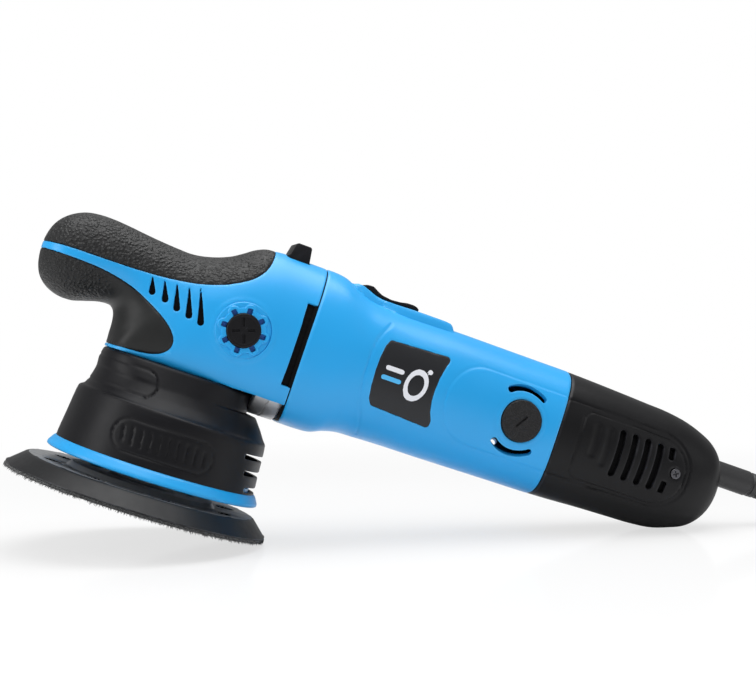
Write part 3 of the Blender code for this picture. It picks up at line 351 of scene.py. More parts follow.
def lathe(profile, n, closed=True, phase=0.0):
    rings, verts, faces = [], [], []
    for r, z in profile:
        if r < 1e-6:
            rings.append([len(verts)])
            verts.append((0, 0, z))
        else:
            rings.append(list(range(len(verts), len(verts) + n)))
            verts += [(r * math.cos(phase + 2 * math.pi * i / n), r * math.sin(phase + 2 * math.pi * i / n), z) for i in range(n)]
    pairs = list(zip(rings, rings[1:])) + ([(rings[-1], rings[0])] if closed else [])
    for p, q in pairs:
        for i in range(n):
            j = (i + 1) % n
            if len(p) == 1:
                faces.append((p[0], q[j], q[i]))
            elif len(q) == 1:
                faces.append((p[i], p[j], q[0]))
            else:
                faces.append((p[i], p[j], q[j], q[i]))
    return np.array(verts, float), faces


def rounded(profile, r=0.6, n=4, closed=True):
    """Rounds the corners of a (r, z) outline."""
    out = []
    m = len(profile)
    for i, b in enumerate(profile):
        if not closed and i in (0, m - 1):
            out.append(b)
            continue
        a, c = profile[i - 1], profile[(i + 1) % m]
        va, vc = Vector((a[0] - b[0], a[1] - b[1])), Vector((c[0] - b[0], c[1] - b[1]))
        if va.length < 1e-6 or vc.length < 1e-6:
            continue
        k = min(r, va.length * 0.45, vc.length * 0.45)
        p, q = Vector(b) + va.normalized() * k, Vector(b) + vc.normalized() * k
        for t in range(n + 1):
            t = t / n
            pt = p * (1 - t) ** 2 + Vector(b) * 2 * t * (1 - t) + q * t * t
            out.append((pt.x, pt.y))
    return out


# ---- materials -------------------------------------------------------------------------------------
def srgb(r, g, b):
    return tuple(((c / 255 / 12.92) if c / 255 <= 0.04045 else ((c / 255 + 0.055) / 1.055) ** 2.4) for c in (r, g, b))


class Mat:
    """Small wrapper that strings nodes together."""

    def __init__(self, name):
        self.m = bpy.data.materials.new(name)
        self.m.use_nodes = True
        self.nt = self.m.node_tree
        self.b = self.nt.nodes["Principled BSDF"]
        self.co = self.add("ShaderNodeTexCoord").outputs["Object"]

    def add(self, kind, **props):
        n = self.nt.nodes.new(kind)
        for k, v in props.items():
            setattr(n, k, v)
        return n

    def link(self, a, b):
        self.nt.links.new(a, b)

    def noise(self, scale, detail=2.0, rough=0.5, co=None, distortion=0.0):
        n = self.add("ShaderNodeTexNoise")
        n.inputs["Scale"].default_value = scale
        n.inputs["Detail"].default_value = detail
        n.inputs["Roughness"].default_value = rough
        n.inputs["Distortion"].default_value = distortion
        self.link(co or self.co, n.inputs["Vector"])
        return n.outputs["Fac"]

    def remap(self, x, a, b, c, d, smooth=False):
        n = self.add("ShaderNodeMapRange")
        if smooth:
            n.interpolation_type = "SMOOTHSTEP"
        for k, v in zip(("From Min", "From Max", "To Min", "To Max"), (a, b, c, d)):
            n.inputs[k].default_value = v
        self.link(x, n.inputs["Value"])
        return n.outputs["Result"]

    def math(self, op, a, b=None):
        n = self.add("ShaderNodeMath", operation=op)
        for i, x in enumerate((a, b)):
            if x is None:
                continue
            if isinstance(x, (int, float)):
                n.inputs[i].default_value = x
            else:
                self.link(x, n.inputs[i])
        return n.outputs[0]

    def mix(self, fac, a, b):
        n = self.add("ShaderNodeMix", data_type="RGBA")
        for sock, x in ((n.inputs[0], fac), (n.inputs[6], a), (n.inputs[7], b)):
            if isinstance(x, tuple):
                sock.default_value = (*x[:3], 1)
            elif isinstance(x, (int, float)):
                sock.default_value = x
            else:
                self.link(x, sock)
        return n.outputs[2]

    def along(self, axis):
        n = self.add("ShaderNodeVectorMath", operation="DOT_PRODUCT")
        self.link(self.co, n.inputs[0])
        n.inputs[1].default_value = axis
        return n.outputs["Value"]

    def bump(self, height, strength, distance, after=None):
        n = self.add("ShaderNodeBump")
        n.inputs["Distance"].default_value = distance
        if isinstance(strength, (int, float)):
            n.inputs["Strength"].default_value = strength
        else:
            self.link(strength, n.inputs["Strength"])
        self.link(height, n.inputs["Height"])
        if after is not None:
            self.link(after, n.inputs["Normal"])
        self.link(n.outputs["Normal"], self.b.inputs["Normal"])
        return n.outputs["Normal"]

    def pointiness(self, lo, hi):
        g = self.add("ShaderNodeNewGeometry")
        return self.remap(g.outputs["Pointiness"], lo, hi, 0, 1, True)


U_AXIS = (CS, 0.0, -SN)
W_AXIS = (SN, 0.0, CS)


def plastic(name, base, rough, grain=0.12, grain_scale=2600.0, blotch=0.05, edge_wear_highlight=None, edge_wear_highlight_amount=0.35, metal=0.0, spec=0.5, streak=0.0):
    k = Mat(name)
    dark, light = tuple(c * (1 - blotch) for c in base), tuple(min(1, c * (1 + blotch)) for c in base)
    big = k.noise(11.0, 3.0)
    col = k.mix(k.remap(big, 0.3, 0.7, 0, 1), dark, light)
    if edge_wear_highlight:
        # convex edges found by pointiness are lightened: partly edge wear, partly a painted edge highlight
        edge = k.math("MULTIPLY", k.pointiness(0.515, 0.57), k.remap(k.noise(160.0, 3.0), 0.4, 0.7, 0.25, 1.0))
        col = k.mix(k.math("MULTIPLY", edge, edge_wear_highlight_amount), col, edge_wear_highlight)
    k.link(col, k.b.inputs["Base Color"])
    r = k.remap(k.noise(48.0, 4.0, 0.6), 0.3, 0.7, rough - 0.045, rough + 0.05)
    if streak:
        fine = k.noise(320.0, 5.0, 0.7)
        r = k.math("ADD", r, k.remap(fine, 0.35, 0.75, -streak, streak))
    k.link(r, k.b.inputs["Roughness"])
    k.b.inputs["Metallic"].default_value = metal
    k.b.inputs["Specular IOR Level"].default_value = spec
    k.bump(k.noise(grain_scale, 2.0, 0.55), grain, 0.0001)
    return k.m


BLUE = plastic("mat_blue_shell", srgb(24, 150, 215), 0.36, spec=0.42, grain=0.10, edge_wear_highlight=srgb(110, 196, 240), edge_wear_highlight_amount=0.25, streak=0.02)
# painted shade: darker blue for the deep faces of the index ring's recesses
BLUE_RECESS_SHADE = plastic("mat_blue_recess_painted_shade", srgb(20, 92, 170), 0.5, grain=0.12)
BLACK = plastic("mat_black_plastic", srgb(15, 15, 18), 0.40, grain=0.16, spec=0.17, edge_wear_highlight=srgb(74, 74, 80), edge_wear_highlight_amount=0.35, blotch=0.07)
CAPM = plastic("mat_cap_plastic", srgb(13, 13, 15), 0.40, grain=0.20, spec=0.17, grain_scale=1700.0, edge_wear_highlight=srgb(74, 74, 80), edge_wear_highlight_amount=0.35, blotch=0.07)
# painted shade: near-black matte material for sheets set where only shade shows, inside slots, seams and gaps
SHADE_FILL = plastic("mat_painted_shade_inside", srgb(8, 8, 9), 0.7, grain=0.1, spec=0.08)
BADGE = plastic("mat_badge", srgb(30, 31, 34), 0.36, spec=0.25, grain=0.08, grain_scale=3200.0, edge_wear_highlight=srgb(96, 94, 100), edge_wear_highlight_amount=0.2)
PRINT = plastic("mat_badge_print", srgb(214, 216, 222), 0.4, grain=0.05, blotch=0.02)
PRINT_B = plastic("mat_badge_print_blue", srgb(70, 170, 225), 0.4, grain=0.05, blotch=0.02)
CORDM = plastic("mat_cord_rubber", srgb(28, 28, 30), 0.5, grain=0.18, grain_scale=1300.0, edge_wear_highlight=srgb(80, 80, 84), edge_wear_highlight_amount=0.25)
PADM = plastic("mat_pad_body", srgb(18, 19, 21), 0.42, spec=0.24, grain=0.3, grain_scale=900.0, edge_wear_highlight=srgb(86, 88, 92), edge_wear_highlight_amount=0.4, blotch=0.1, streak=0.05)
ALU = plastic("mat_cast_aluminium", (0.50, 0.50, 0.505), 0.44, grain=0.55, grain_scale=1100.0, blotch=0.1, metal=1.0, edge_wear_highlight=(0.75, 0.75, 0.76), edge_wear_highlight_amount=0.6, streak=0.05)
CARBON = plastic("mat_carbon", (0.02, 0.02, 0.022), 0.7, grain=0.5, grain_scale=1500.0)


def rubber(name, smooth_from=None):
    """Grained grip rubber. smooth_from: position along the motor axis (row frame, m) past which the grain dies out."""
    k = Mat(name)
    warp = k.noise(300.0, 2.0)
    vec = k.add("ShaderNodeVectorMath", operation="MULTIPLY_ADD")
    k.link(k.co, vec.inputs[0])
    vec.inputs[1].default_value = (1, 1, 1)
    off = k.add("ShaderNodeVectorMath", operation="SCALE")
    n3 = k.add("ShaderNodeTexNoise")
    n3.inputs["Scale"].default_value = 420.0
    k.link(k.co, n3.inputs["Vector"])
    k.link(n3.outputs["Color"], off.inputs[0])
    off.inputs["Scale"].default_value = 0.0016
    k.link(off.outputs[0], vec.inputs[2])
    v = k.add("ShaderNodeTexVoronoi", feature="SMOOTH_F1")
    v.inputs["Scale"].default_value = 560.0
    v.inputs["Smoothness"].default_value = 0.35
    k.link(vec.outputs[0], v.inputs["Vector"])
    cells = k.remap(v.outputs["Distance"], 0.05, 0.62, 1.0, 0.0)
    fine = k.noise(2400.0, 3.0)
    h = k.math("ADD", cells, k.math("MULTIPLY", fine, 0.25))
    mask = None
    if smooth_from is not None:
        u = k.along(U_AXIS)
        w = k.along(W_AXIS)
        mu = k.remap(u, smooth_from - 0.010, smooth_from + 0.004, 1.0, 0.0, True)
        mask = mu
    big = k.noise(26.0, 4.0)
    base_a, base_b = srgb(14, 14, 15), srgb(25, 26, 26)
    col = k.mix(k.remap(big, 0.3, 0.7, 0, 1), base_a, base_b)
    tips = k.math("MULTIPLY", cells, 0.5)
    if mask is not None:
        tips = k.math("MULTIPLY", tips, mask)
    col = k.mix(tips, col, srgb(44, 45, 46))
    k.link(col, k.b.inputs["Base Color"])
    r = k.remap(k.noise(90.0, 3.0), 0.3, 0.7, 0.42, 0.54)
    k.link(r, k.b.inputs["Roughness"])
    k.b.inputs["Specular IOR Level"].default_value = 0.28
    b1 = k.bump(k.noise(2200.0, 2.0), 0.16, 0.0001)
    k.bump(h, 1.0 if mask is None else k.math("MULTIPLY", mask, 1.0), 0.0007, after=b1)
    return k.m


RUB_TOP = rubber("mat_grip_rubber_top")
RUB_LOW = rubber("mat_grip_rubber_lower", smooth_from=(BENCH_X * CS + -56.0 + 0 - BENCH_Z * SN) / 1000.0)


def metal(name, base, rough, axis=None, scale=900.0, grain=0.25):
    """Turned or ground metal: scratches squeezed along an axis, with stain, and edges lightened as edge polish and
    painted edge highlight.
    """
    k = Mat(name)
    mp = k.add("ShaderNodeMapping")
    mp.inputs["Scale"].default_value = axis or (1, 1, 1)
    k.link(k.co, mp.inputs["Vector"])
    sc = k.noise(scale, 4.0, 0.7, co=mp.outputs[0])
    stain = k.noise(60.0, 4.0, 0.6)
    col = k.mix(k.remap(stain, 0.35, 0.7, 0, 1), tuple(c * 0.82 for c in base), base)
    # convex edges lightened: partly edge polish, partly a painted edge highlight
    col = k.mix(k.math("MULTIPLY", k.pointiness(0.51, 0.56), 0.5), col, tuple(min(1, c * 1.35) for c in base))
    k.link(col, k.b.inputs["Base Color"])
    k.b.inputs["Metallic"].default_value = 1.0
    k.link(k.remap(sc, 0.3, 0.7, rough - 0.08, rough + 0.1), k.b.inputs["Roughness"])
    k.bump(sc, grain, 0.00008)
    return k.m


STEEL = metal("mat_steel", (0.52, 0.53, 0.55), 0.30)
SCREW = metal("mat_screw_steel", (0.11, 0.11, 0.12), 0.36)
BRIGHT = metal("mat_bright_steel", (0.72, 0.73, 0.75), 0.2, grain=0.12)
COPPER = metal("mat_copper", (0.62, 0.29, 0.13), 0.36, axis=(1, 6, 1))


def pile(name):
    """Short hook pile: fibrous speckle with a soft sheen."""
    k = Mat(name)
    v = k.add("ShaderNodeTexVoronoi")
    v.inputs["Scale"].default_value = 1100.0
    k.link(k.co, v.inputs["Vector"])
    f = k.remap(v.outputs["Distance"], 0.0, 0.7, 1.0, 0.0)
    col = k.mix(f, srgb(22, 23, 24), srgb(66, 68, 70))
    k.link(col, k.b.inputs["Base Color"])
    k.b.inputs["Roughness"].default_value = 0.8
    k.b.inputs["Sheen Weight"].default_value = 0.35
    k.b.inputs["Sheen Roughness"].default_value = 0.5
    k.bump(f, 0.9, 0.0006)
    return k.m


PILE = pile("mat_hook_pile")

def leather(name):
    """Pebbled black plastic of the brush caps."""
    k = Mat(name)
    v = k.add("ShaderNodeTexVoronoi", feature="SMOOTH_F1")
    v.inputs["Scale"].default_value = 1150.0
    v.inputs["Smoothness"].default_value = 0.4
    k.link(k.co, v.inputs["Vector"])
    cells = k.remap(v.outputs["Distance"], 0.05, 0.6, 1.0, 0.0)
    k.link(k.mix(k.math("MULTIPLY", cells, 0.5), srgb(12, 12, 14), srgb(38, 38, 42)), k.b.inputs["Base Color"])
    k.b.inputs["Specular IOR Level"].default_value = 0.3
    k.link(k.remap(k.noise(120.0, 3.0), 0.3, 0.7, 0.42, 0.55), k.b.inputs["Roughness"])
    k.bump(cells, 0.8, 0.0004)
    return k.m


LEATHER = leather("mat_pebbled_plastic")
# the hub's grey is partly the plate's own top colour, partly painted reflection of its glossy top
HUB_TONE_AND_SHEEN = plastic("mat_pad_hub_painted_sheen", (0.22, 0.223, 0.227), 0.37, grain=0.35, grain_scale=700.0, metal=0.3, blotch=0.16, edge_wear_highlight=(0.7, 0.7, 0.71), edge_wear_highlight_amount=0.5, streak=0.06)


SLOT_MAT = {"blue_housing": BLUE, "grip_rubber": CORDM, "black_plastic": BLACK, "badge": BADGE, "cast_aluminium": ALU, "steel": STEEL, "copper": COPPER, "carbon": CARBON, "pad_body": PADM, "pad_hook": PILE}
for sub in frame["record"]["subparts"]:
    o = NODES[sub["node"]]
    o.data.materials.clear()
    o.data.materials.append(SLOT_MAT[sub["material_slot"]])

# ---- head: ribs from the front of the grip to the motor ----------------------------------------------
RIBS = np.array([
    (-98.7, 126.0, -98.4, 120.0, -99.0, 114.0, 9.0, 2.0, 2.0),
    (-97.0, 131.5, -96.0, 120.0, -97.6, 108.0, 14.5, 2.0, 2.0),
    (-93.5, 136.8, -91.5, 120.0, -94.6, 102.4, 19.5, 2.1, 2.1),
    (-88.5, 141.0, -86.0, 120.0, -89.5, 98.2, 22.8, 2.1, 2.1),
    (-82.0, 144.1, -79.5, 120.0, -82.5, 95.7, 24.5, 2.1, 2.1),
    (-74.5, 145.4, -72.5, 120.0, -75.0, 95.5, 25.2, 2.1, 2.1),
    (-66.0, 145.5, -65.0, 121.0, -68.0, 97.4, 25.2, 2.1, 2.1),
    (-57.0, 144.8, -57.0, 121.5, -61.5, 99.4, 25.0, 2.1, 2.1),
    (-48.0, 143.8, -49.0, 121.5, -56.0, 100.2, 25.0, 2.1, 2.1),
    (-40.0, 143.0, -41.5, 121.0, -52.4, 99.6, 25.6, 2.1, 2.15),
    (-33.0, 142.5, -35.0, 119.5, -50.0, 96.6, 26.6, 2.1, 2.2),
    (-27.0, 142.2, -29.0, 118.0, -48.8, 91.0, 28.0, 2.1, 2.3),
    (-21.0, 142.0, -23.0, 116.5, -48.4, 82.0, 29.8, 2.1, 2.5),
    (-15.0, 142.6, -17.0, 115.0, -47.8, 70.0, 31.6, 2.1, 2.8),
    (-9.0, 144.0, -11.0, 114.3, -34.0, 68.0, 33.4, 2.1, 3.2),
    (-3.0, 146.0, -5.0, 114.0, -20.0, 68.0, 35.2, 2.1, 3.5),
    (3.0, 148.8, 1.0, 113.5, -8.0, 68.0, 36.3, 2.1, 3.7),
    (9.0, 152.8, 7.5, 113.3, 3.0, 68.0, 36.9, 2.1, 3.8),
    (14.5, 156.8, 14.0, 113.2, 12.0, 68.0, 37.2, 2.1, 3.8),
    (20.0, 159.5, 20.0, 113.2, 20.0, 68.0, 37.4, 2.1, 3.7),
    (28.0, 160.8, 28.0, 113.2, 28.0, 68.0, 37.7, 2.15, 3.5),
    (42.0, 160.9, 42.0, 113.2, 42.0, 67.6, 38.3, 2.2, 3.2),
])
STEP = 0.85


def sgn(x, p):
    return np.sign(x) * np.abs(x) ** p


def ring_of(col, k=720):
    tu, tw, mu, mw, bu, bw, h, nt, nb = col
    a = 2 * np.pi * np.arange(k) / k
    c, s = np.cos(a), np.sin(a)
    top = c >= 0
    n = np.where(top, nt, nb)
    f = np.abs(c) ** (2 / n)
    g = sgn(s, 2 / n)
    u = mu + (np.where(top, tu, bu) - mu) * f
    w = mw + (np.where(top, tw, bw) - mw) * f
    return np.stack([u, -h * g, w], 1)


def head_grid():
    pole = np.array([-99.5, 0, -99.5, 0, -99.5, 0, 0, 2.0, 2.0])
    rel = RIBS.copy()
    for c in (1, 3, 5):
        rel[:, c] -= 120.0
    rel[:, 3] = RIBS[:, 3] - 120.0
    rows = np.vstack([pole, rel])
    L = np.zeros(len(rows))
    for i in range(1, len(rows)):
        d = rows[i] - rows[i - 1]
        L[i] = L[i - 1] + math.sqrt(d[2] ** 2 + d[3] ** 2 + d[6] ** 2)
    odd = np.array([1, -1, 1, -1, 1, -1, -1, 1, 1])
    ext = rows[1:5][::-1] * odd
    ys = np.vstack([ext, rows])
    xs = np.r_[-L[1:5][::-1], L]
    n = int(L[-1] / STEP)
    ls = np.linspace(0.02, L[-1], n)
    cols = crom(xs, ys, ls)
    cols[:, 6] = np.maximum(cols[:, 6], 0.05)
    K = int(round(232 / STEP / 4)) * 4
    P = []
    for c in cols:
        c = c.copy()
        for q in (1, 3, 5):
            c[q] += 120.0
        P.append(even(ring_of(c), K))
    m = int(16 / STEP)
    last = RIBS[-1].copy()
    end = np.array((0, 160.8, 0, 113.2, 0, 67.3, 38.9, 2.2, 3.0))
    for t in np.linspace(0, 1, m + 1)[1:]:
        c = last * (1 - t) + end * t
        c[[0, 2, 4]] = 0
        r = even(ring_of(c), K)
        r[:, 0] = 42.0 + t * (SEAM_F - SEAM_F_BOW * (r[:, 1] / 38.4) ** 2 - 42.0)
        P.append(r)
    P = np.array(P)
    return P, grid_normals(P)


def spline(pts, step=0.7, closed=False):
    pts = np.asarray(pts, float)
    if closed:
        pts = np.vstack([pts[-2:], pts, pts[:3]])
    s = np.r_[0, np.cumsum(np.linalg.norm(np.diff(pts, axis=0), axis=1))]
    lo, hi = (s[2], s[-3]) if closed else (0, s[-1])
    t = np.linspace(lo, hi, max(3, int((hi - lo) / step)))
    out = crom(s, pts, t)
    return out[:-1] if closed else out


TOP_EDGE = [(-99.5, 121.6), (-85, 122.1), (-64, 122.2), (-44, 122.6), (-30, 123.5), (-20, 124.7), (-10, 126.7), (-2, 129.2), (5, 132.4), (10, 135.3), (14, 138.1), (18, 142.1), (21, 146.5), (23, 151.6), (24.3, 156.8), (25.5, 161.0)]
LOW_EDGE = [(-99.5, 117.4), (-84.3, 117.2), (-64.3, 116.2), (-54.5, 114.6), (-44.5, 111.8), (-35, 107.4), (-27.5, 103.2), (-22, 99.3), (-18.2, 95.4), (-16.2, 91.4), (-16.5, 87.4), (-19.3, 83.8), (-24.5, 81.4), (-31.5, 80.2), (-40, 79.8), (-60, 79.6)]
TOP_RUBBER = [(-112, 121.6)] + [tuple(p) for p in spline(TOP_EDGE, 1.2)] + [(25.8, 175), (-112, 175)]
LOW_RUBBER = [(-112, 117.4)] + [tuple(p) for p in spline(LOW_EDGE, 1.2)] + [(-60, 90), (-112, 90)]
VENTS = [((-37.4, 121.4), (-35.2, 113.6)), ((-30.6, 121.7), (-27.4, 111.9)), ((-23.9, 122.3), (-20.1, 109.3)), ((-17.2, 122.8), (-12.8, 107.6)), ((-11.3, 124.1), (-5.7, 106.0))]


def settle(P):
    """Small correction of the ridge lines: moves the crown of the casing without moving its flanks."""
    u, v, w = P[..., 0], P[..., 1], P[..., 2]
    k = np.clip(1 - (v / 38.0) ** 2, 0, 1)
    du = np.interp(u, [-99, -20, 40, 57, 136, 216, 330], [0.6, -0.4, -1.2, -1.2, -2.0, -2.6, -4.2]) * k
    dw = np.interp(u, [-99, -40, 0, 25, 60, 100, 136, 216, 300, 330], [0, -0.1, -0.5, -1.2, -1.2, -0.5, 0.3, 0.7, 0.3, 0]) * k * smooth((w - AX) / 30.0)
    return np.stack([u + du, v, w + dw], -1)


def teardrop(tip, foot, r=1.9, n=14):
    a0 = math.atan2(foot[1] - tip[1], foot[0] - tip[0])
    side = (-0.32 * math.sin(a0), 0.32 * math.cos(a0))
    tips = [(tip[0] + side[0], tip[1] + side[1]), (tip[0] - side[0], tip[1] - side[1])]
    return tips + [(foot[0] + r * math.cos(a0 + t), foot[1] + r * math.sin(a0 + t)) for t in [math.radians(-98 + 196 * i / n) for i in range(n + 1)]]


HP, HN = head_grid()
probe = HP.shape[0] // 2, HP.shape[1] // 4


def outward(P, N):
    i, j = P.shape[0] // 2, P.shape[1] // 4
    return -N if N[i, j, 1] * P[i, j, 1] < 0 else N


HN = outward(HP, HN)
hu, hv, hw = HP[..., 0], HP[..., 1], HP[..., 2]
HQ = settle(HP)
HN = outward(HQ, grid_normals(HQ))
sd_top = sd_poly(TOP_RUBBER, hu, hw)
sd_low = sd_poly(LOW_RUBBER, hu, hw)
sd_vent = np.minimum.reduce([sd_poly(teardrop(a, b), hu, hw) for a, b in VENTS])
sd_notch = np.where(np.abs(hv) > 18, sd_box(hu, hw, 56.8, 111.9, 10.0, 24.1, 0.4), 9.0)
sd_boss = sd_circle(hu, hw, BOSS_U, BOSS_W, 15.55)
sd_lock = np.where(hw > 140, sd_box(hu, np.abs(hv), LOCK_U - 0.3, 0.0, 6.7, 12.2, 1.0), 9.0)
seam_d = SEAM_F - SEAM_F_BOW * (hv / 38.4) ** 2 - hu
shell_d = np.minimum.reduce([sd_top - 0.2, sd_low - 0.2, hw - HEAD_FLOOR])
holes_d = np.minimum.reduce([sd_vent, sd_notch, sd_boss, sd_lock, seam_d - 0.38])
base_disp = roll(np.maximum(shell_d, 0), 0.5) + roll(np.maximum(np.minimum(sd_vent, sd_notch), 0), 0.3) + roll(np.maximum(sd_lock, 0), 0.5)
base_disp = base_disp + plateau(sd_circle(hu, hw, BOSS_U, BOSS_W, 18.0), 1.2, 0.25) + roll(np.maximum(seam_d, 0), 0.45)
for side, nm in ((-1, "left"), (1, "right")):
    mid = side * hv - 0.14
    s = np.minimum.reduce([shell_d, holes_d, mid])
    dd = base_disp + roll(np.maximum(mid, 0), 0.4)
    skin("head_skin_" + nm, HQ, HN, s, dd, BLUE, "housing", 2.4, True, ("head_shell_" + nm,))
grip_d = -sd_top
skin("grip_top_skin", HQ, HN, np.where(hw > 100, grip_d, -1.0), roll(np.maximum(grip_d, 0), 0.8) + 0.25 * smooth(grip_d / 6.0), RUB_TOP, "housing", 1.5, True, ("grip_pad_top",))
screws = np.where(hv > 4, np.minimum(sd_circle(hu, hw, -74.0, 108.0, 4.1), sd_circle(hu, hw, -40.5, 95.0, 4.1)), 9.0)
grip_d = np.minimum(-sd_low, screws)
skin("grip_lower_skin", HQ, HN, grip_d, roll(np.maximum(grip_d, 0), 0.8) + 0.2 * smooth(-sd_low / 6.0), RUB_LOW, "housing", 1.5, True, ("grip_pad_lower",))

# painted shade: dark liners set behind the air slots and the back slot, and dark bands under the two body seams, so
# these openings read as shade
vent_shade_mask = np.where(np.abs(hv) > 12, np.maximum(1.8 - sd_notch, 2.4 - sd_vent), -1.0)
for side, nm in ((-1, "left"), (1, "right")):
    skin("vent_shade_liner_" + nm, HQ, HN, np.where(side * hv > 0, vent_shade_mask, -1.0), np.where(sd_notch < 4, -1.7 - 0.25 * (np.sin(hw * 1.6) > 0.6), -2.3), SHADE_FILL, "housing", 0.8, True)

# ---- motor housing -----------------------------------------------------------------------------------
TUBE = np.array([
    (50.0, 160.9, 67.3, 39.0, 2.2, 3.0),
    (57.0, 160.9, 67.3, 39.2, 2.2, 3.0),
    (63.0, 160.8, 67.2, 39.2, 2.2, 2.9),
    (70.0, 159.6, 67.2, 39.2, 2.2, 2.8),
    (77.0, 156.2, 67.8, 39.0, 2.2, 2.6),
    (84.0, 153.4, 70.4, 38.6, 2.2, 2.4),
    (92.0, 151.8, 72.4, 38.2, 2.2, 2.25),
    (104.0, 150.9, 73.0, 37.8, 2.15, 2.2),
    (150.0, 150.7, 73.6, 37.4, 2.12, 2.12),
    (196.0, 150.4, 74.2, 37.0, 2.12, 2.12),
    (216.6, 150.3, 74.4, 36.9, 2.12, 2.12),
    (222.0, 150.2, 74.5, 36.8, 2.12, 2.12),
])


def tube_col(c):
    """(top, bottom, half width, n above, n below) to a ring about the motor axis, at u = 0."""
    top, bot, hw_, nt, nb = c
    return ring_of((0, top, 0, AX, 0, bot, hw_, nt, nb))


def tube_grid():
    U = np.linspace(57.25, SEAM_R, int((SEAM_R - 57.25) / STEP))
    cols = crom(TUBE[:, 0], TUBE[:, 1:], U)
    K = int(round(240 / STEP / 4)) * 4
    P = []
    for x, c in zip(U, cols):
        r = even(tube_col(c), K)
        q = (r[:, 1] / 38.4) ** 2
        r[:, 0] = x - SEAM_F_BOW * q * (1 - smooth((x - 57.3) / 22.0)) - SEAM_R_BOW * q * smooth((x - 180.0) / 36.6)
        P.append(r)
    return np.array(P)


DECK_TOP = [(60.0, 150.0), (69.5, 154.6), (72.5, 157.0), (76.5, 158.4), (80.0, 158.1), (84.5, 156.3), (88.5, 154.8), (93.5, 154.0), (100.0, 153.9), (118.5, 154.1), (133.0, 153.8), (136.3, 153.3), (137.6, 152.3), (138.9, 150.4), (140.5, 147.5), (146.0, 143.0)]


def deck_height(u, v):
    top = np.interp(u, [p[0] for p in DECK_TOP], [p[1] for p in DECK_TOP])
    out = np.maximum(np.abs(v) - 10.6, 0)
    return top - 0.75 * out**2 - 6.0 * np.maximum(out - 3.0, 0)



BADGE_IN = [(99.9, 130.2), (97.9, 126.6), (96.6, 120), (96.2, 113), (96.8, 104), (98.2, 97.4), (100.0, 94.9), (133.7, 93.0), (133.6, 94.9), (131.0, 99.8), (129.4, 106), (129.0, 112.2), (129.8, 120.2), (131.8, 127.2), (133.8, 131.8)]
TP = tube_grid()
tu_, tv_, tw_ = TP[..., 0].copy(), TP[..., 1].copy(), TP[..., 2].copy()
TP[..., 2] = np.where(tw_ > 140, smax(tw_, deck_height(tu_, tv_), 0.9), tw_)
TQ = settle(TP)
TN = outward(TQ, grid_normals(TQ))
tu_, tv_, tw_ = TP[..., 0], TP[..., 1], TP[..., 2]
on_side = np.abs(tv_) > 14
sd_badge = np.where(on_side, sd_poly(BADGE_IN, tu_, tw_) - 1.7, 9.0)
sd_brush = np.where(on_side, sd_circle(tu_, tw_, BRUSH_U, AX, 12.45), 9.0)
sd_arcs = np.where(on_side, np.minimum(sd_arc(tu_, tw_, BRUSH_U, AX, 18.9, math.pi / 2 + 0.02, math.radians(33.5), 1.9), sd_arc(tu_, tw_, BRUSH_U, AX, 18.9, -math.pi / 2, math.radians(35.5), 1.9)), 9.0)
sd_slot = np.where((tw_ > 145), sd_box(tu_, tv_, 101.5, 0.0, 13.5, 3.6, 1.0), 9.0)
ARC = [(98.0, 141), (91.5, 131), (89.2, 122), (89.0, 113), (89.6, 104), (92.5, 94), (97.5, 84), (102.0, 75)]
arc_line = sd_line([tuple(p) for p in spline(ARC, 1.5)], tu_, tw_)
pill = sd_box(tu_, tw_, 194.0, 112.0, 56.0, 22.6, 22.4)
disp = np.zeros(TP.shape[:2])
disp += np.where(on_side, groove(arc_line, 0.95, 0.45), 0)
disp += np.where(on_side, 0.3 * smooth(0.5 - pill / 1.2) + groove(pill - 0.2, 0.9, 0.28), 0)
disp += np.where(on_side, groove(sd_circle(tu_, tw_, BRUSH_U, AX, 15.4), 0.8, 0.2), 0)
disp += roll(np.maximum(sd_badge - 0.12, 0), 0.3)
disp += roll(np.maximum(np.minimum(sd_brush, sd_arcs), 0), 0.35)
pocket = np.where(tw_ > 145, sd_box(tu_, tv_, 101.2, 0.0, 24.0, 8.7, 3.0), 9.0)
disp += np.where(pocket < 2, -0.35 * smooth(0.5 - pocket / 0.8), 0)
ends = np.minimum(tu_ - (57.25 - SEAM_F_BOW * (tv_ / 38.4) ** 2), (SEAM_R - SEAM_R_BOW * (tv_ / 38.4) ** 2) - tu_)
disp += roll(np.maximum(ends, 0), 0.6)
s = np.minimum.reduce([sd_brush, sd_arcs, sd_slot, sd_badge - 0.12])
skin("motor_housing_skin", TQ, TN, s, disp, BLUE, "housing", 3.0, True, ("motor_housing",))

# badge plates and a plain printed emblem
for side, nm in ((-1, "left"), (1, "right")):
    here = side * tv_ > 10
    d = -sd_badge
    keep = np.where(here, d, -1.0)
    skin("badge_skin_" + nm, TQ, TN, keep, roll(np.maximum(d, 0), 0.35) - 0.22, BADGE, "housing", 0.9, True, ("badge_plate_" + nm,))


def retag(ob, mat, test):
    """Gives the faces whose centre passes test (row frame, m) a second material."""
    me = ob.data
    me.materials.append(mat)
    for p in me.polygons:
        if test(p.center):
            p.material_index = len(me.materials) - 1


# painted shade: dark bands just under the front and rear seams, seen through the seam gaps
for nm, row, e0, e1 in (("front", 0, -2.0, 2.0), ("rear", -1, -2.0, 2.0)):
    ring, nn = TQ[row], TN[row]
    G = np.stack([ring - nn * 1.0 + np.array([e, 0, 0]) for e in np.linspace(e0, e1, 4)])
    skin("seam_shade_band_" + nm, G, np.repeat(nn[None], 4, 0), np.ones(G.shape[:2]), np.zeros(G.shape[:2]), SHADE_FILL, "housing", 0.5, True)

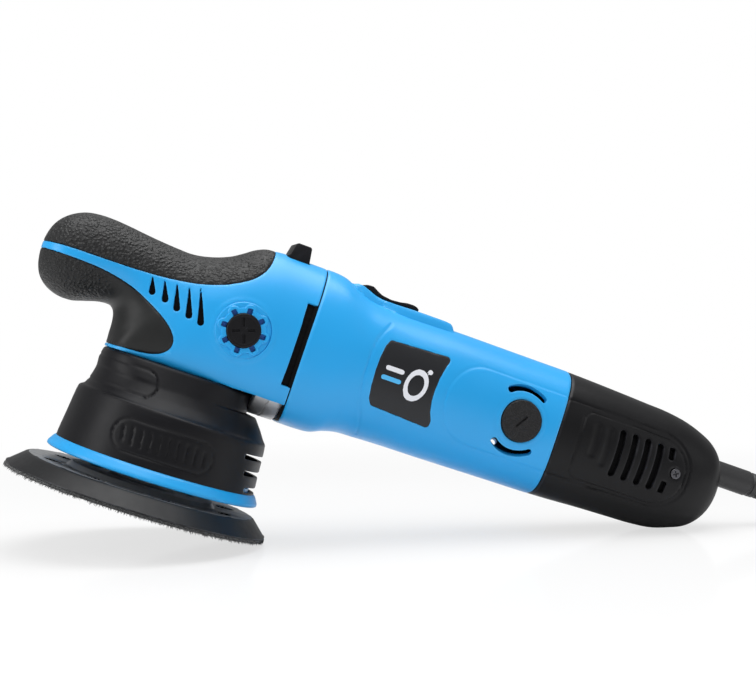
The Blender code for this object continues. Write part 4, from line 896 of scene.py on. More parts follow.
# plain printed mark on the badges: a ring with a dot beside two bars
for side, nm in ((-1, "left"), (1, "right")):
    here = side * tv_ > 10
    q, r_ = tu_ - 119.4, tw_ - 111.9
    xr, yr = q * 0.985 - r_ * 0.17, q * 0.17 + r_ * 0.985
    ell = np.abs(np.hypot(xr / 6.6, yr / 9.4) - 0.84) * 7.2 - 1.25
    dot = sd_circle(tu_, tw_, 125.4, 121.6, 1.5)
    mark = np.minimum(ell, dot)
    bar_a = sd_box(tu_, tw_, 105.2, 116.4, 5.6, 1.35, 1.2)
    bar_b = sd_box(tu_, tw_, 104.6, 110.6, 6.0, 1.35, 1.2)
    skin("badge_mark_" + nm, TQ, TN, np.where(here, -np.minimum(mark, bar_a), -1.0), np.full(tu_.shape, -0.17), PRINT, "housing", 0.25, True)
    skin("badge_bar_" + nm, TQ, TN, np.where(here, -bar_b, -1.0), np.full(tu_.shape, -0.17), PRINT_B, "housing", 0.25, True)

# ---- rear cap ------------------------------------------------------------------------------------------
CAP = np.array([
    (212.0, 150.3, 74.4, 36.9, 2.12, 2.12), (217.1, 150.2, 74.5, 36.9, 2.15, 2.15), (228, 150, 74.8, 36.7, 2.2, 2.2),
    (250, 149.4, 75.8, 36.2, 2.2, 2.2), (270, 148.7, 76.4, 35.6, 2.2, 2.25), (287, 148, 77, 34.8, 2.2, 2.3),
    (298.5, 146.4, 78.3, 33.6, 2.2, 2.3), (308, 143.9, 81.2, 31.4, 2.2, 2.3), (316.5, 140.6, 84.6, 28, 2.2, 2.3),
    (322.5, 136.2, 89.6, 23.4, 2.2, 2.2), (326.5, 129.6, 96.6, 17, 2.1, 2.1), (328.7, 121.5, 104.5, 9, 2, 2)])


def cap_grid():
    rel = CAP.copy()
    rel[:, 1:3] -= AX
    rows = np.vstack([rel, (329.3, 0, 0, 0, 2, 2)])
    L = np.r_[0, np.cumsum(np.sqrt(np.diff(rows[:, 0]) ** 2 + np.diff(rows[:, 1]) ** 2 + np.diff(rows[:, 3]) ** 2))]
    odd = np.array([1, -1, -1, -1, 1, 1])
    ys = np.vstack([rows, rows[-5:-1][::-1] * odd])
    xs = np.r_[L, 2 * L[-1] - L[-5:-1][::-1]]
    start = np.interp(217.25, rows[:2, 0], L[:2]) if rows[1, 0] > 217.25 else L[1] + 0.15
    cols = crom(xs, ys, np.linspace(start, L[-1] - 0.02, int((L[-1] - start) / STEP)))
    cols[:, 3] = np.maximum(cols[:, 3], 0.05)
    K = int(round(232 / STEP / 4)) * 4
    P = []
    for c in cols:
        r = even(tube_col((c[1] + AX, c[2] + AX, c[3], c[4], c[5])), K)
        r[:, 0] = c[0] - SEAM_R_BOW * (r[:, 1] / 38.4) ** 2 * (1 - smooth((c[0] - 217.0) / 38.0))
        P.append(r)
    return np.array(P)


def foot(P):
    """Nothing of the casing goes below the bench."""
    lowest = (P[..., 0] * SN - BENCH_Z + 0.02) / CS
    P = P.copy()
    P[..., 2] = np.where(P[..., 2] < AX, smax(P[..., 2], lowest, 0.5), P[..., 2])
    return P


CP = cap_grid()
cu, cv, cw = CP[..., 0], CP[..., 1], CP[..., 2]
CQ = foot(settle(CP))
CN = outward(CQ, grid_normals(CQ))
flank = (np.abs(cv) > 9) & (cu < 306)
outer = np.where(flank, sd_box(cu, cw, 246.0, 111.7, 50.5, 22.8, 21.0), 9.0)
inner = np.where(cu < 252, sd_box(cu, cw, 258.0, 111.2, 35.5, 20.0, 6.5), sd_box(cu, cw, 258.0, 111.2, 35.5, 20.0, 18.5))
inner = np.where(flank, inner, 9.0)
slots = np.minimum.reduce([sd_seg(cu, cw, x, 113.2 - 12.1, x, 113.2 + 12.1, 2.1) for x in (248.2, 256.5, 265.0, 273.5)] + [sd_box(cu, cw, 281.6, y, 2.0, 3.6, 1.0) for y in (123.4, 103.0)])
slots = np.where(flank, slots, 9.0)
blind = np.where(flank, np.minimum(sd_seg(cu, cw, 232.0, 108.0, 232.0, 124.0, 2.0), sd_seg(cu, cw, 240.0, 105.0, 240.0, 124.0, 2.0)), 9.0)
screw_d = np.where(flank, sd_circle(cu, cw, 286.5, 113.0, 3.5), 9.0)
cord_d = np.where(cu > 300, np.hypot(cv, cw - CORD_W) - 8.05, 9.0)
dial_d = np.where(cv > 8, np.maximum(np.abs(cu - 232.0) - 4.25, np.hypot(cv - 19.6, cw - 132.0) - 11.9), 9.0)
cd = -0.5 * smooth(0.5 - outer / 0.8) + groove(outer, 0.75, 0.5)
cd = cd + 0.4 * smooth(0.5 - inner / 0.8) + groove(inner, 0.75, 0.6)
cd = cd + np.where(blind < 1.2, -0.8 * smooth(0.5 - blind / 1.2), 0)
cd = cd + roll(np.maximum(np.minimum(slots, dial_d), 0), 0.4)
cd = cd + roll(np.maximum(cord_d, 0), 0.8) + roll(np.maximum(cu - (217.25 - SEAM_R_BOW * (cv / 38.4) ** 2), 0), 0.6)
cd = cd + np.where(screw_d < 0.9, -0.35 * smooth(0.5 - (screw_d - 0.5) / 0.5), 0)
cd = np.where(cw < 90, cd * np.clip((cw * CS - cu * SN + BENCH_Z) / 4.0, 0, 1), cd)
skin("rear_cap_skin", CQ, CN, np.minimum.reduce([slots, screw_d, cord_d, dial_d]), cd, CAPM, "housing", 2.6, True, ("rear_cap",))
# painted shade: dark sheets 3.2 mm under the cap's slots, so the slots read as shade
cap_slot_shade_mask = np.where(flank & (cu < 296), 3.0 - slots, -1.0)
for side, nm in ((-1, "left"), (1, "right")):
    skin("cap_slot_shade_liner_" + nm, CQ, CN, np.where(side * cv > 0, cap_slot_shade_mask, -1.0), np.full(cu.shape, -3.2), SHADE_FILL, "housing", 0.5, True)


# ---- small turned and moulded pieces ---------------------------------------------------------------------
def cross_slot(x, y, half, width):
    return np.minimum(sd_box(x, y, 0, 0, half, width / 2, 0.1), sd_box(x, y, 0, 0, width / 2, half, 0.1))


def turned(x, y, deg):
    a = math.radians(deg)
    return x * math.cos(a) + y * math.sin(a), -x * math.sin(a) + y * math.cos(a)


def radii(r0, r1, step=0.28):
    return np.linspace(r0, r1, max(3, int((r1 - r0) / step)))


for side, nm in ((-1, "left"), (1, "right")):
    # index ring of the side-handle boss
    def ring_height(r, a, x, y):
        z = np.full(r.shape, 37.4)
        lobes = r - 12.4
        recess = np.full(r.shape, 9.0)
        for k in range(8):
            t = math.radians(45 * k + 22.5 * 0)
            p, q = x * math.cos(t) + y * math.sin(t), -x * math.sin(t) + y * math.cos(t)
            lobes = np.minimum(lobes, np.hypot(p - 11.6, q) - 3.1)
            recess = np.minimum(recess, sd_box(p, q, 10.9, 0, 1.75, 1.4, 0.8))
        z = z + 0.8 * smooth(0.5 - lobes / 0.6)
        z = z + roll(np.maximum(16.0 - r, 0), 1.0) * 1.5
        z = z - 2.4 * smooth(0.5 - recess / 0.4)
        return z
    V, F = polar(radii(9.7, 16.0, 0.2), 288, ring_height, closed_back=33.9)
    ob = make("index_ring_" + nm, side_frame(V, side, BOSS_U, BOSS_W), F, BLUE, "housing", ("handle_index_ring_" + nm,))
    # the deepest faces of the recesses get the painted-shade blue
    retag(ob, BLUE_RECESS_SHADE, lambda c: abs(c.y) * 1000 < 36.9 and abs(c.y) * 1000 > 34.5)

    def plug_height(r, a, x, y):
        z = 39.25 + roll(np.maximum(9.5 - r, 0), 0.9) - 0.10 * smooth((r - 7.2) / 0.3) * smooth((8.2 - r) / 0.3)
        p, q = turned(x, y, 19.1)
        arms = np.minimum(sd_box(p, np.abs(q) - 4.6, 0, 0, 0.65, 2.4, 0.3), sd_box(np.abs(p) - 4.2, q, 0, 0, 2.0, 0.65, 0.3))
        return z - 0.9 * smooth(0.5 - arms / 0.35)
    V, F = polar(radii(0, 9.5, 0.2), 200, plug_height, closed_back=35.0)
    make("handle_plug_skin_" + nm, side_frame(V, side, BOSS_U, BOSS_W), F, BLACK, "housing", ("handle_plug_" + nm,))

    def brush_height(r, a, x, y):
        z = 37.9 + roll(np.maximum(12.1 - r, 0), 0.9)
        p, q = turned(x, y, 57.0)
        return z - 1.0 * smooth(0.5 - sd_box(p, q, 0, 0, 4.2, 0.55, 0.2) / 0.35) - 0.12 * smooth(0.5 - np.abs(r - 10.6) / 0.4)
    V, F = polar(radii(0, 12.1, 0.22), 240, brush_height, closed_back=33.2)
    make("brush_cap_skin_" + nm, side_frame(V, side, BRUSH_U, AX), F, LEATHER, "housing", ("brush_cap_" + nm,))

    def screw_height(r, a, x, y):
        z = 34.75 + roll(np.maximum(3.15 - r, 0), 0.7)
        p, q = turned(x, y, 28.0)
        return z - 1.1 * smooth(0.5 - cross_slot(p, q, 1.7, 0.62) / 0.25) * (1 - smooth((r - 1.5) / 0.5) * 0.6)
    V, F = polar(radii(0, 3.15, 0.1), 96, screw_height, closed_back=32.6)
    make("cap_screw_skin_" + nm, side_frame(V, side, 286.5, 113.0), F, SCREW, "housing", ("rear_cap_screw_" + nm,))

for nm, u0, w0 in (("front", -74.0, 108.0), ("rear", -40.5, 95.0)):
    def head_screw_height(r, a, x, y):
        z = 14.9 + roll(np.maximum(3.9 - r, 0), 0.8)
        return z - 1.1 * smooth(0.5 - cross_slot(x, y, 2.0, 0.75) / 0.25)
    V, F = polar(radii(0, 3.9, 0.14), 96, head_screw_height, closed_back=12.5)
    make("head_screw_skin_" + nm, side_frame(V, 1, u0, w0), F, SCREW, "housing", ("head_screw_" + nm,))
    # sleeve the screw sits in, in the painted-shade material so the recess reads dark
    a = np.linspace(0, 2 * np.pi, 65)[:-1]
    wall = [[(u0 + r * math.cos(t), v, w0 + r * math.sin(t)) for t in a] for r, v in ((4.1, 26.5), (4.1, 20.0), (4.1, 12.2), (0.5, 12.0))]
    G = np.array(wall)
    G[0, :, 1] = 24.5
    skin("screw_well_" + nm, G, outward(G, grid_normals(G)), np.ones(G.shape[:2]), np.zeros(G.shape[:2]), SHADE_FILL, "housing", 0, True)


def bevelled(pts, v0, v1, bevel, seg=3, taper=0.0):
    """A prism with outline pts in (u, w) from v0 to v1, its edges rounded."""
    bm = bmesh.new()
    mid = sum(p[1] for p in pts) / len(pts)
    lo, hi = min(p[1] for p in pts), max(p[1] for p in pts)
    rows = []
    for v in (v0, v1):
        s = 1 if v > (v0 + v1) / 2 else -1
        rows.append([bm.verts.new((p[0], v - s * taper * (p[1] - lo) / max(hi - lo, 1e-6), p[1])) for p in pts])
    n = len(pts)
    for i in range(n):
        j = (i + 1) % n
        bm.faces.new((rows[0][i], rows[0][j], rows[1][j], rows[1][i]))
    bm.faces.new(rows[0][::-1])
    bm.faces.new(rows[1])
    bmesh.ops.recalc_face_normals(bm, faces=bm.faces)
    bmesh.ops.bevel(bm, geom=list(bm.edges), offset=bevel, segments=seg, profile=0.5, affect="EDGES", clamp_overlap=True)
    bm.verts.index_update()
    V = np.array([tuple(v.co) for v in bm.verts])
    F = [tuple(v.index for v in f.verts) for f in bm.faces]
    bm.free()
    return V, F


# lock button: a wedge-fronted block with rounded edges
BUTTON = [(31.4, 153.0), (31.7, 160.2), (33.6, 161.6), (35.0, 168.0), (35.9, 168.9), (43.6, 168.9), (44.4, 168.0), (45.6, 158.6), (45.6, 153.0)]
V, F = bevelled(BUTTON, -11.3, 11.3, 0.45, 3, 1.2)
V = settle(V)
make("lock_button_skin", V, F, BLACK, "lock", ("lock_button",), sharp=45)
# switch slider, lofted along the motor axis
SW_TOP = [(80.3, 158.9), (82.3, 159.9), (86.4, 160.2), (88.6, 158.8), (92.5, 156.9), (98.5, 156.0), (104.5, 156.4), (108.5, 157.2), (113, 157.2), (115.6, 156.3), (116.2, 155.2)]
SW_BOT = [(80.3, 158.5), (83.5, 157), (86.5, 155.8), (90, 154.9), (94, 154.4), (104, 154.3), (116.2, 154.2)]
us = np.linspace(80.35, 116.15, 150)
top = np.interp(us, *np.array(SW_TOP).T)
top = np.convolve(np.pad(top, 4, mode="edge"), np.ones(9) / 9, "valid")
bot = np.interp(us, *np.array(SW_BOT).T)
rows = []
for x, t, b in zip(us, top, bot):
    end = min(1.0, math.sqrt(max(1 - (max(0, 1.6 - min(x - 80.2, 116.3 - x)) / 1.6) ** 2, 0.02)))
    r = ring_of((0, t, 0, (t + b) / 2, 0, b, 7.7 * (0.8 + 0.2 * end), 6.0, 6.0), 160)
    r[:, 0] = x
    ridge = 0.28 * (0.5 + 0.5 * math.cos((x - 101) * 2 * math.pi / 2.6)) if 93.5 < x < 108.5 else 0.0
    r[:, 2] = np.where(r[:, 2] > (t + b) / 2 + 0.2, r[:, 2] - ridge * (np.abs(r[:, 1]) < 6.2), r[:, 2])
    rows.append(r)
G = np.array(rows)
cap0, cap1 = G[0].copy(), G[-1].copy()
c0, c1 = cap0.mean(0), cap1.mean(0)
G = np.vstack([[c0 + (cap0 - c0) * 0.02], [c0 + (cap0 - c0) * 0.6], G, [c1 + (cap1 - c1) * 0.6], [c1 + (cap1 - c1) * 0.02]])
GQ = settle(G)
skin("switch_slider_skin", GQ, outward(GQ, grid_normals(GQ)), np.ones(G.shape[:2]), np.zeros(G.shape[:2]), BLACK, "switch", 0, True, ("switch_slider",), sharp=50)

# speed dial: knurled wheel set in the far upper side of the rear cap
def dial_rows():
    a = np.arange(288) * 2 * np.pi / 288
    knurl = 0.38 * np.clip(np.cos(24 * a) * 2.2, -1, 1)
    out = []
    for r, x in ((0.05, -3.4), (7.0, -3.4), (9.3, -3.35), (10.1, -3.0), (10.55, -2.4), (10.6, 0.0), (10.55, 2.4), (10.1, 3.0), (9.3, 3.35), (7.0, 3.4), (0.05, 3.4)):
        rr = r + (knurl if r > 10 else 0)
        out.append(np.stack([np.full(288, 232.0 + x), 19.6 + rr * np.cos(a), 132.0 + rr * np.sin(a)], 1))
    return np.array(out)


G = dial_rows()
skin("speed_dial_skin", G, outward(G, grid_normals(G)), np.ones(G.shape[:2]), np.zeros(G.shape[:2]), BLACK, "dial", 0, True, ("speed_dial",), sharp=40)

# cord guard and cord
GUARD = [(4.35, 314.0), (8.6, 314.0), (8.6, 317.4), (7.75, 318.0), (7.75, 346.0)]
x = 346.0
for i in range(4):
    r = 7.75 - 0.3 * i
    GUARD += [(r, x), (r, x + 3.2), (r - 0.85, x + 3.8), (r - 0.85, x + 5.0), (r - 0.2, x + 5.6)]
    x += 5.6
GUARD += [(6.1, 368.5), (5.5, 371.0), (4.4, 371.6)]
V, F = lathe(rounded(GUARD, 0.35, 3), 96)
V = np.asarray(V, float)
make("cord_guard_skin", np.stack([V[:, 2], V[:, 0], CORD_W + V[:, 1]], 1), F, CORDM, "housing", ("cord_guard",))

path_u = np.arange(300.0, 378.01, 2.0)
pts = [to_row([[u, 0, CORD_W]])[0] * 1000 for u in path_u]
end = pts[-1]
for dx, dz in spline([(0, 0), (10, 3.1), (20, 5.6), (30, 7.4), (42, 8.6), (56, 9.0)], 2.0)[1:]:
    pts.append(end + np.array([dx, 0, -dz]))
pts = np.array(pts)
tan = np.gradient(pts, axis=0)
tan /= np.linalg.norm(tan, axis=1, keepdims=True)
side_v = np.array([0, 1.0, 0])
rows = []
for p, t in zip(pts, tan):
    n = np.cross(t, side_v)
    a = np.arange(48) * 2 * np.pi / 48
    rows.append(p + 3.88 * (np.cos(a)[:, None] * side_v + np.sin(a)[:, None] * n))
G = np.array(rows)
tip = G[-1].mean(0)
G = np.vstack([G, [tip + (G[-1] - tip) * 0.93 + tan[-1] * 0.3], [tip + (G[-1] - tip) * 0.4 + tan[-1] * 0.35], [tip + (G[-1] - tip) * 0.02 + tan[-1] * 0.35]])
faces = [(i * 48 + j, i * 48 + (j + 1) % 48, (i + 1) * 48 + (j + 1) % 48, (i + 1) * 48 + j) for i in range(len(G) - 1) for j in range(48)]
make("power_cord_skin", G.reshape(-1, 3) / 1000.0, faces, CORDM, "housing", ("power_cord",), row=True)

# ---- shroud ---------------------------------------------------------------------------------------------
SHROUD = [(21.4, -57.9, 57.7, 57.8, 2), (28.0, -57.4, 57.2, 57.2, 2), (36.5, -56.6, 56.4, 56.5, 2), (45.0, -55.9, 55.8, 55.8, 2), (52.0, -55.3, 55.1, 55.2, 2), (53.6, -54.5, 54.4, 54.4, 2), (54.5, -52.4, 53.4, 52.4, 2.0), (57.0, -51.2, 51.6, 49.4, 2.02), (60.0, -50.2, 49.5, 46.5, 2.05), (63.0, -49.5, 47.0, 44.2, 2.1), (65.9, -49, 44.6, 42.2, 2.15), (66.1, -49, 38.5, 42.1, 2.3), (72, -49.5, 38.5, 39.4, 2.4), (76.4, -48.7, 38.5, 37.4, 2.5), (77.5, -48.0, 37.8, 36.7, 2.5), (77.74, -45, 35.5, 34.0, 2.3), (77.74, -27, 27, 27, 2)]


def shroud_grid():
    T = np.array(SHROUD, float)
    L = np.r_[0, np.cumsum(np.sqrt(np.diff(T[:, 0]) ** 2 + np.diff(T[:, 1]) ** 2))]
    n = int(L[-1] / STEP)
    cols = np.stack([np.interp(np.linspace(0, L[-1], n), L, T[:, c]) for c in range(5)], 1)
    k = np.array([1, 2, 1]) / 4
    for c in (0, 1, 3, 4):
        cols[1:-1, c] = np.convolve(cols[:, c], k, "valid")
    K = int(round(350 / STEP / 4)) * 4
    a = 2 * np.pi * np.arange(K) / K
    P = []
    for w, f, r, h, p in cols:
        cu_ = -3.0 * smooth((w - 52.5) / 3.0) * (1 - smooth((w - 77.5) / 0.2) * 0.0)
        c, s_ = np.cos(a), np.sin(a)
        x = np.where(c >= 0, cu_ + (r - cu_) * sgn(c, 2 / p), cu_ + (f - cu_) * np.abs(c) ** (2 / p))
        P.append(np.stack([x, -h * sgn(s_, 2 / p), np.full(K, w)], 1))
    return np.array(P)


SP = shroud_grid()
SNm = grid_normals(SP)
i, j = len(SP) // 4, SP.shape[1] // 4
if SNm[i, j, 1] * SP[i, j, 1] < 0:
    SNm = -SNm
su, sv, sw = SP[..., 0], SP[..., 1], SP[..., 2]
ang = np.arctan2(sv, su)
arc = np.abs(ang) * 55.0
wall = (sw < 53) & (np.abs(sv) > 20)
low_pill = np.where(wall, sd_box(su, sw, -4.6, 37.0, 27.6, 8.8, 8.8), 9.0)
rib_list = []
for q in (-22.2, -17.3, -12.4, -7.5, -2.5, 2.5, 7.5, 12.4, 17.3, 22.2):
    h = math.sqrt(max(6.2**2 - max(abs(q) - 18.8, 0) ** 2, 0.5)) - 1.6
    rib_list.append(sd_seg(su, sw, -4.6 + q + 0.5, 37.0 - h, -4.6 + q - 0.5, 37.0 + h, 0.1))
ribs = np.where(low_pill < 0, np.minimum.reduce(rib_list), 9.0)
top_pill = np.where((sw > 55) & (sw < 75) & (su < 10), sd_box(su, sw, -118.0, 65.2, 101.5, 7.2, 7.2), 9.0)
step_line = np.abs(sw - 52.6)
sd = groove(low_pill, 0.75, 0.6) + 0.1 * smooth(0.5 - low_pill / 0.8)
sd = sd + np.where(ribs < 3, groove(ribs, 0.9, 0.65), 0)
sd = sd + groove(top_pill, 0.75, 0.75) + 0.15 * smooth(0.5 - top_pill / 0.9)
sd = sd + np.where(sw < 54, groove(sw - 51.2, 0.7, 0.3), 0) + np.where(sw < 30, groove(sw - 23.6, 0.6, 0.25), 0)
vents = np.minimum.reduce([sd_box(arc, sw, 0.0, w0, math.radians(h) * 55, 1.45, 1.2) for w0, h in ((44.8, 43), (35.8, 40), (26.8, 35))])
sd = sd + roll(np.maximum(vents, 0), 0.4)
hole = np.hypot(su, sv) - 26.6
keep = np.minimum(np.where(sw > 77.0, hole, 9.0), vents)
skin("shroud_skin", SP, SNm, keep, sd, BLACK, "housing", 2.2, True, ("shroud",))

RING = [(53.8, 25.0), (51.8, 25.0), (51.8, 16.1), (60.2, 15.6), (61.2, 16.2), (61.0, 17.6), (59.0, 20.9), (57.8, 22.0), (53.8, 22.0)]
V, F = lathe(rounded(RING, 0.5, 4), 288)
V = np.asarray(V, float)
V[:, 2] += 1.6 + 0.8 * V[:, 0] / 60.0
make("shroud_ring_skin", V, F, BLUE, "housing", ("shroud_ring",))

# painted shade: a dark strip from w 77.2 to 80.5 inside the neck, filling the gap between the head floor and the shroud
# top with shade
a = 2 * np.pi * np.arange(240) / 240
G = np.stack([np.stack([np.where(np.cos(a) >= 0, 33.0, 42.0) * np.cos(a) - 0.5, 30.0 * np.sin(a), np.full(240, z)], 1) for z in (77.2, 78.0, 79.0, 80.5)])
skin("neck_gap_shade_strip", G, outward(G, grid_normals(G)), np.ones(G.shape[:2]), np.zeros(G.shape[:2]), SHADE_FILL, "housing", 0.5, True)

# ---- gear housing lip seen between the head and the motor -------------------------------------------------
rows = []
for x, g in ((36.2, -1.6), (36.5, -0.6), (37.2, 0.0), (44.0, 0.0), (44.4, -0.5), (45.0, -0.5), (45.4, 0.1), (52.6, 0.1), (53.0, -0.5)):
    for k in (0, 1):
        r = ring_of((0, 149.2 + g, 0, AX, 0, 67.5 - g, 33.2 + g, 2.3, 2.7), 360)
        r[:, 0] = x + 0.06 * k
        rows.append(r)
G = np.array(rows)
GN = outward(G, grid_normals(G))
skin("gear_housing_lip", G, GN, np.where(G[..., 2] < 92.0, 1.0, -1.0), np.zeros(G.shape[:2]), ALU, "housing", 3.0, True)

# ---- backing plate, hub insert, hook face ----------------------------------------------------------------------
PLATE = np.array([(6, 12.8), (18.5, 12.8), (20, 11.6), (30, 11.6), (31.5, 12.9), (38.5, 12.9), (41, 12.6), (43, 9.9), (60, 10.6), (65.2, 10.9), (66.4, 10.3), (75, 2.6), (75.0, 2.1)])
NA = 480


def sag(V):
    """The flexible plate gives a little where the tool's weight rests on its edge."""
    V = np.array(V, float)
    r = np.hypot(V[:, 0], V[:, 1])
    V[:, 2] += 1.15 * V[:, 0] / 75.0 * smooth(r / 60.0) - 0.3 * smooth(-V[:, 0] / 75.0)
    return V



def plate_height(r, a, x, y):
    rr = np.clip(r, 6, 74.98)
    z = np.interp(rr, PLATE[:, 0], PLATE[:, 1])
    z = z + np.where((r > 44) & (r < 65), 0.25 * np.clip(np.cos(16 * a) * 6 - 4.6, 0, 1), 0)
    z = z - np.where((r > 66.9) & (r < 74.5), 0.10 * smooth(0.5 - np.abs(r - 72.2) / 0.5), 0)
    for k in range(8):
        t = math.radians(13 + 45 * k)
        d = np.hypot(x - 52 * math.cos(t), y - 52 * math.sin(t)) - 5.0
        z = z - 8.5 * smooth(0.5 - d / 0.7) + 0.35 * smooth(0.5 - np.abs(d - 0.9) / 0.7)
    return z


rr = np.r_[np.arange(6, 43.5, 0.6), np.arange(43.5, 60, 0.55), np.arange(60, 75, 0.4), 75.0]
V, F = polar(rr, NA, plate_height)
V = np.asarray(V, float)
k = len(V)
side_r = [(75.0, 2.0), (75.0, 1.95), (6.0, 1.95)]
extra = []
a = np.arange(NA) * 2 * np.pi / NA
for r, z in side_r:
    extra.append(np.stack([r * np.cos(a), r * np.sin(a), np.full(NA, z)], 1))
V = np.vstack([V] + extra)
base = [k - NA, k, k + NA, k + 2 * NA]
for p, q in zip(base, base[1:]):
    F += [(p + i, p + (i + 1) % NA, q + (i + 1) % NA, q + i) for i in range(NA)]
F += [(k + 2 * NA + i, k + 2 * NA + (i + 1) % NA, (i + 1) % NA, i) for i in range(NA)]
V[:, 2] = np.where(V[:, 2] > 2.7, V[:, 2] - 0.3, V[:, 2])
V = sag(V)
V[:, 0] -= ECC
ob = make("backing_plate_skin", V, F, PADM, "pad", ("backing_plate",), sharp=35)


def from_row(c):
    x, y, z = c.x * 1000 - BENCH_X, c.y * 1000, c.z * 1000 - BENCH_Z
    return x * CS - z * SN, y, x * SN + z * CS


def near_hub(c):
    u, v, w = from_row(c)
    return math.hypot(u + ECC, v) < 64.6 and w > 8.6


# the plate's top inside the rim gets the hub grey, which carries painted reflection
retag(ob, HUB_TONE_AND_SHEEN, near_hub)

# hook face: a disc with a rounded edge, and a fringe of hooks round its rim
a = np.arange(NA) * 2 * np.pi / NA
prof = [(0.05, 0.05), (40, 0.0), (70, 0.0), (74.3, 0.05), (74.9, 0.4), (75.0, 1.0), (74.9, 1.6), (74.5, 1.78), (60, 1.8), (0.05, 1.8)]
V, F = lathe(prof, NA, closed=False)
V = np.asarray(V, float)
V = sag(V)
V[:, 0] -= ECC
make("hook_face_skin", V, F, PILE, "pad", ("hook_face",))

rnd = random.Random(7)
hv_, hf_ = [], []
count = 1700
for i in range(count):
    t = 2 * math.pi * (i + rnd.uniform(-0.4, 0.4)) / count
    z0 = rnd.uniform(0.1, 1.7)
    L = rnd.uniform(0.8, 1.5)
    er, et = np.array([math.cos(t), math.sin(t), 0]), np.array([-math.sin(t), math.cos(t), 0])
    p0 = er * 74.6 + np.array([0, 0, z0])
    lean = rnd.uniform(-0.5, 0.5)
    p1 = p0 + er * L * 0.55 + et * lean * 0.5 + np.array([0, 0, -L * 0.4])
    p2 = p1 + er * L * 0.1 + et * lean * 0.4 + np.array([0, 0, -L * 0.6])
    k = len(hv_)
    for p, r in ((p0, 0.26), (p1, 0.21), (p2, 0.07)):
        for q in range(3):
            b = 2 * math.pi * q / 3
            hv_.append(p + r * (math.cos(b) * et + math.sin(b) * np.array([0, 0, 1.0])))
    for s_ in (0, 3):
        hf_ += [(k + s_ + q, k + s_ + (q + 1) % 3, k + s_ + 3 + (q + 1) % 3, k + s_ + 3 + q) for q in range(3)]
    hf_.append((k + 6, k + 7, k + 8))
hv_ = sag(np.array(hv_)) - np.array([ECC, 0, 0])
row = to_row(hv_)
row[:, 2] = np.maximum(row[:, 2], 0.0)
make("hook_fringe", row, hf_, PILE, "pad", row=True)

# ---- camera, light, floor ------------------------------------------------------------------------------
cam_data = bpy.data.cameras.new("camera")
cam = bpy.data.objects.new("camera", cam_data)
bpy.context.scene.collection.objects.link(cam)
cam_data.sensor_width = 36.0
cam_data.lens = 69.05
cam_data.clip_end = 20
loc = to_row([[-1.5, 0, 0]])[0] + np.array([-52.517, -823.467, 101.629]) / 1000.0
cam.location = loc
d = Vector((0.22491, 0.97420, -0.01843))
cam.rotation_euler = d.to_track_quat("-Z", "Y").to_euler()
bpy.context.scene.camera = cam

floor = bpy.data.meshes.new("floor")
n = 40
pts, fcs = [], []
prof = [(-2.6, 0.0), (2.2, 0.0)]
for y, z in prof:
    pts += [(-3.4, y, z), (3.4, y, z)]
for i in range(len(prof) - 1):
    fcs.append((2 * i, 2 * i + 1, 2 * i + 3, 2 * i + 2))
floor.from_pydata(pts, [], fcs)
floor.shade_smooth()
fl = bpy.data.objects.new("floor", floor)
bpy.context.scene.collection.objects.link(fl)
fl.location.z = -0.0004
k = Mat("mat_floor")
k.link(k.mix(k.remap(k.noise(3.0), 0.3, 0.7, 0, 1), (0.90, 0.90, 0.905), (0.94, 0.94, 0.94)), k.b.inputs["Base Color"])
k.b.inputs["Roughness"].default_value = 0.10
k.b.inputs["Specular IOR Level"].default_value = 0.6
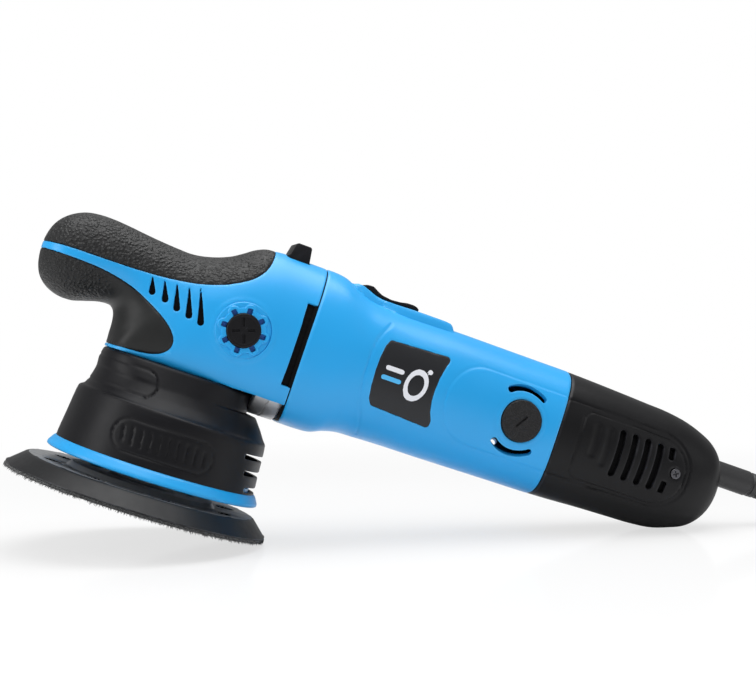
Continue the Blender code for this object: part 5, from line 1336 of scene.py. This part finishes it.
# for camera rays the floor is blended with white emission, two thirds of it near the tool rising to all of it far off,
# so its shadows and reflections are painted lighter and the far floor reads as white backdrop
far = k.add("ShaderNodeVectorMath", operation="LENGTH")
k.link(k.co, far.inputs[0])
fade = k.remap(far.outputs["Value"], 0.28, 0.75, 0.66, 1.0, True)
lp = k.add("ShaderNodeLightPath")
glow = k.add("ShaderNodeEmission")
glow.inputs[0].default_value = (1, 1, 1, 1)
blend = k.add("ShaderNodeMixShader")
k.link(k.math("MULTIPLY", fade, lp.outputs["Is Camera Ray"]), blend.inputs[0])
k.link(k.b.outputs[0], blend.inputs[1])
k.link(glow.outputs[0], blend.inputs[2])
k.link(blend.outputs[0], k.nt.nodes["Material Output"].inputs[0])
floor.materials.append(k.m)


def area(name, loc, target, size, energy, color=(1, 1, 1), size_y=None):
    l = bpy.data.lights.new(name, "AREA")
    l.shape = "RECTANGLE"
    l.size, l.size_y = size, size_y or size
    l.energy = energy
    l.color = color
    o = bpy.data.objects.new(name, l)
    bpy.context.scene.collection.objects.link(o)
    o.location = loc
    o.rotation_euler = (Vector(target) - Vector(loc)).to_track_quat("-Z", "Y").to_euler()
    return o


area("key_light", (-0.5, -1.2, 1.7), (0, 0, 0.08), 1.3, 9)
area("top_light", (0.1, 0.1, 1.5), (0, 0, 0.05), 1.5, 30)
area("right_light", (1.5, -0.9, 0.7), (0, 0, 0.08), 0.9, 3)
area("left_strip", (-1.3, -0.3, 0.6), (-0.1, 0, 0.1), 0.5, 8, size_y=1.2)
world = bpy.data.worlds.new("studio")
bpy.context.scene.world = world
world.use_nodes = True
wt = world.node_tree
bg = wt.nodes["Background"]
bg.inputs[0].default_value = (1.0, 1.0, 1.0, 1)
bg.inputs[1].default_value = 0.38
seen = wt.nodes.new("ShaderNodeBackground")
seen.inputs[0].default_value = (1.0, 1.0, 1.0, 1)
seen.inputs[1].default_value = 1.0
path = wt.nodes.new("ShaderNodeLightPath")
both = wt.nodes.new("ShaderNodeMixShader")
wt.links.new(path.outputs["Is Camera Ray"], both.inputs[0])
wt.links.new(bg.outputs[0], both.inputs[1])
wt.links.new(seen.outputs[0], both.inputs[2])
wt.links.new(both.outputs[0], wt.nodes["World Output"].inputs[0])
bpy.context.scene.view_settings.view_transform = "Standard"
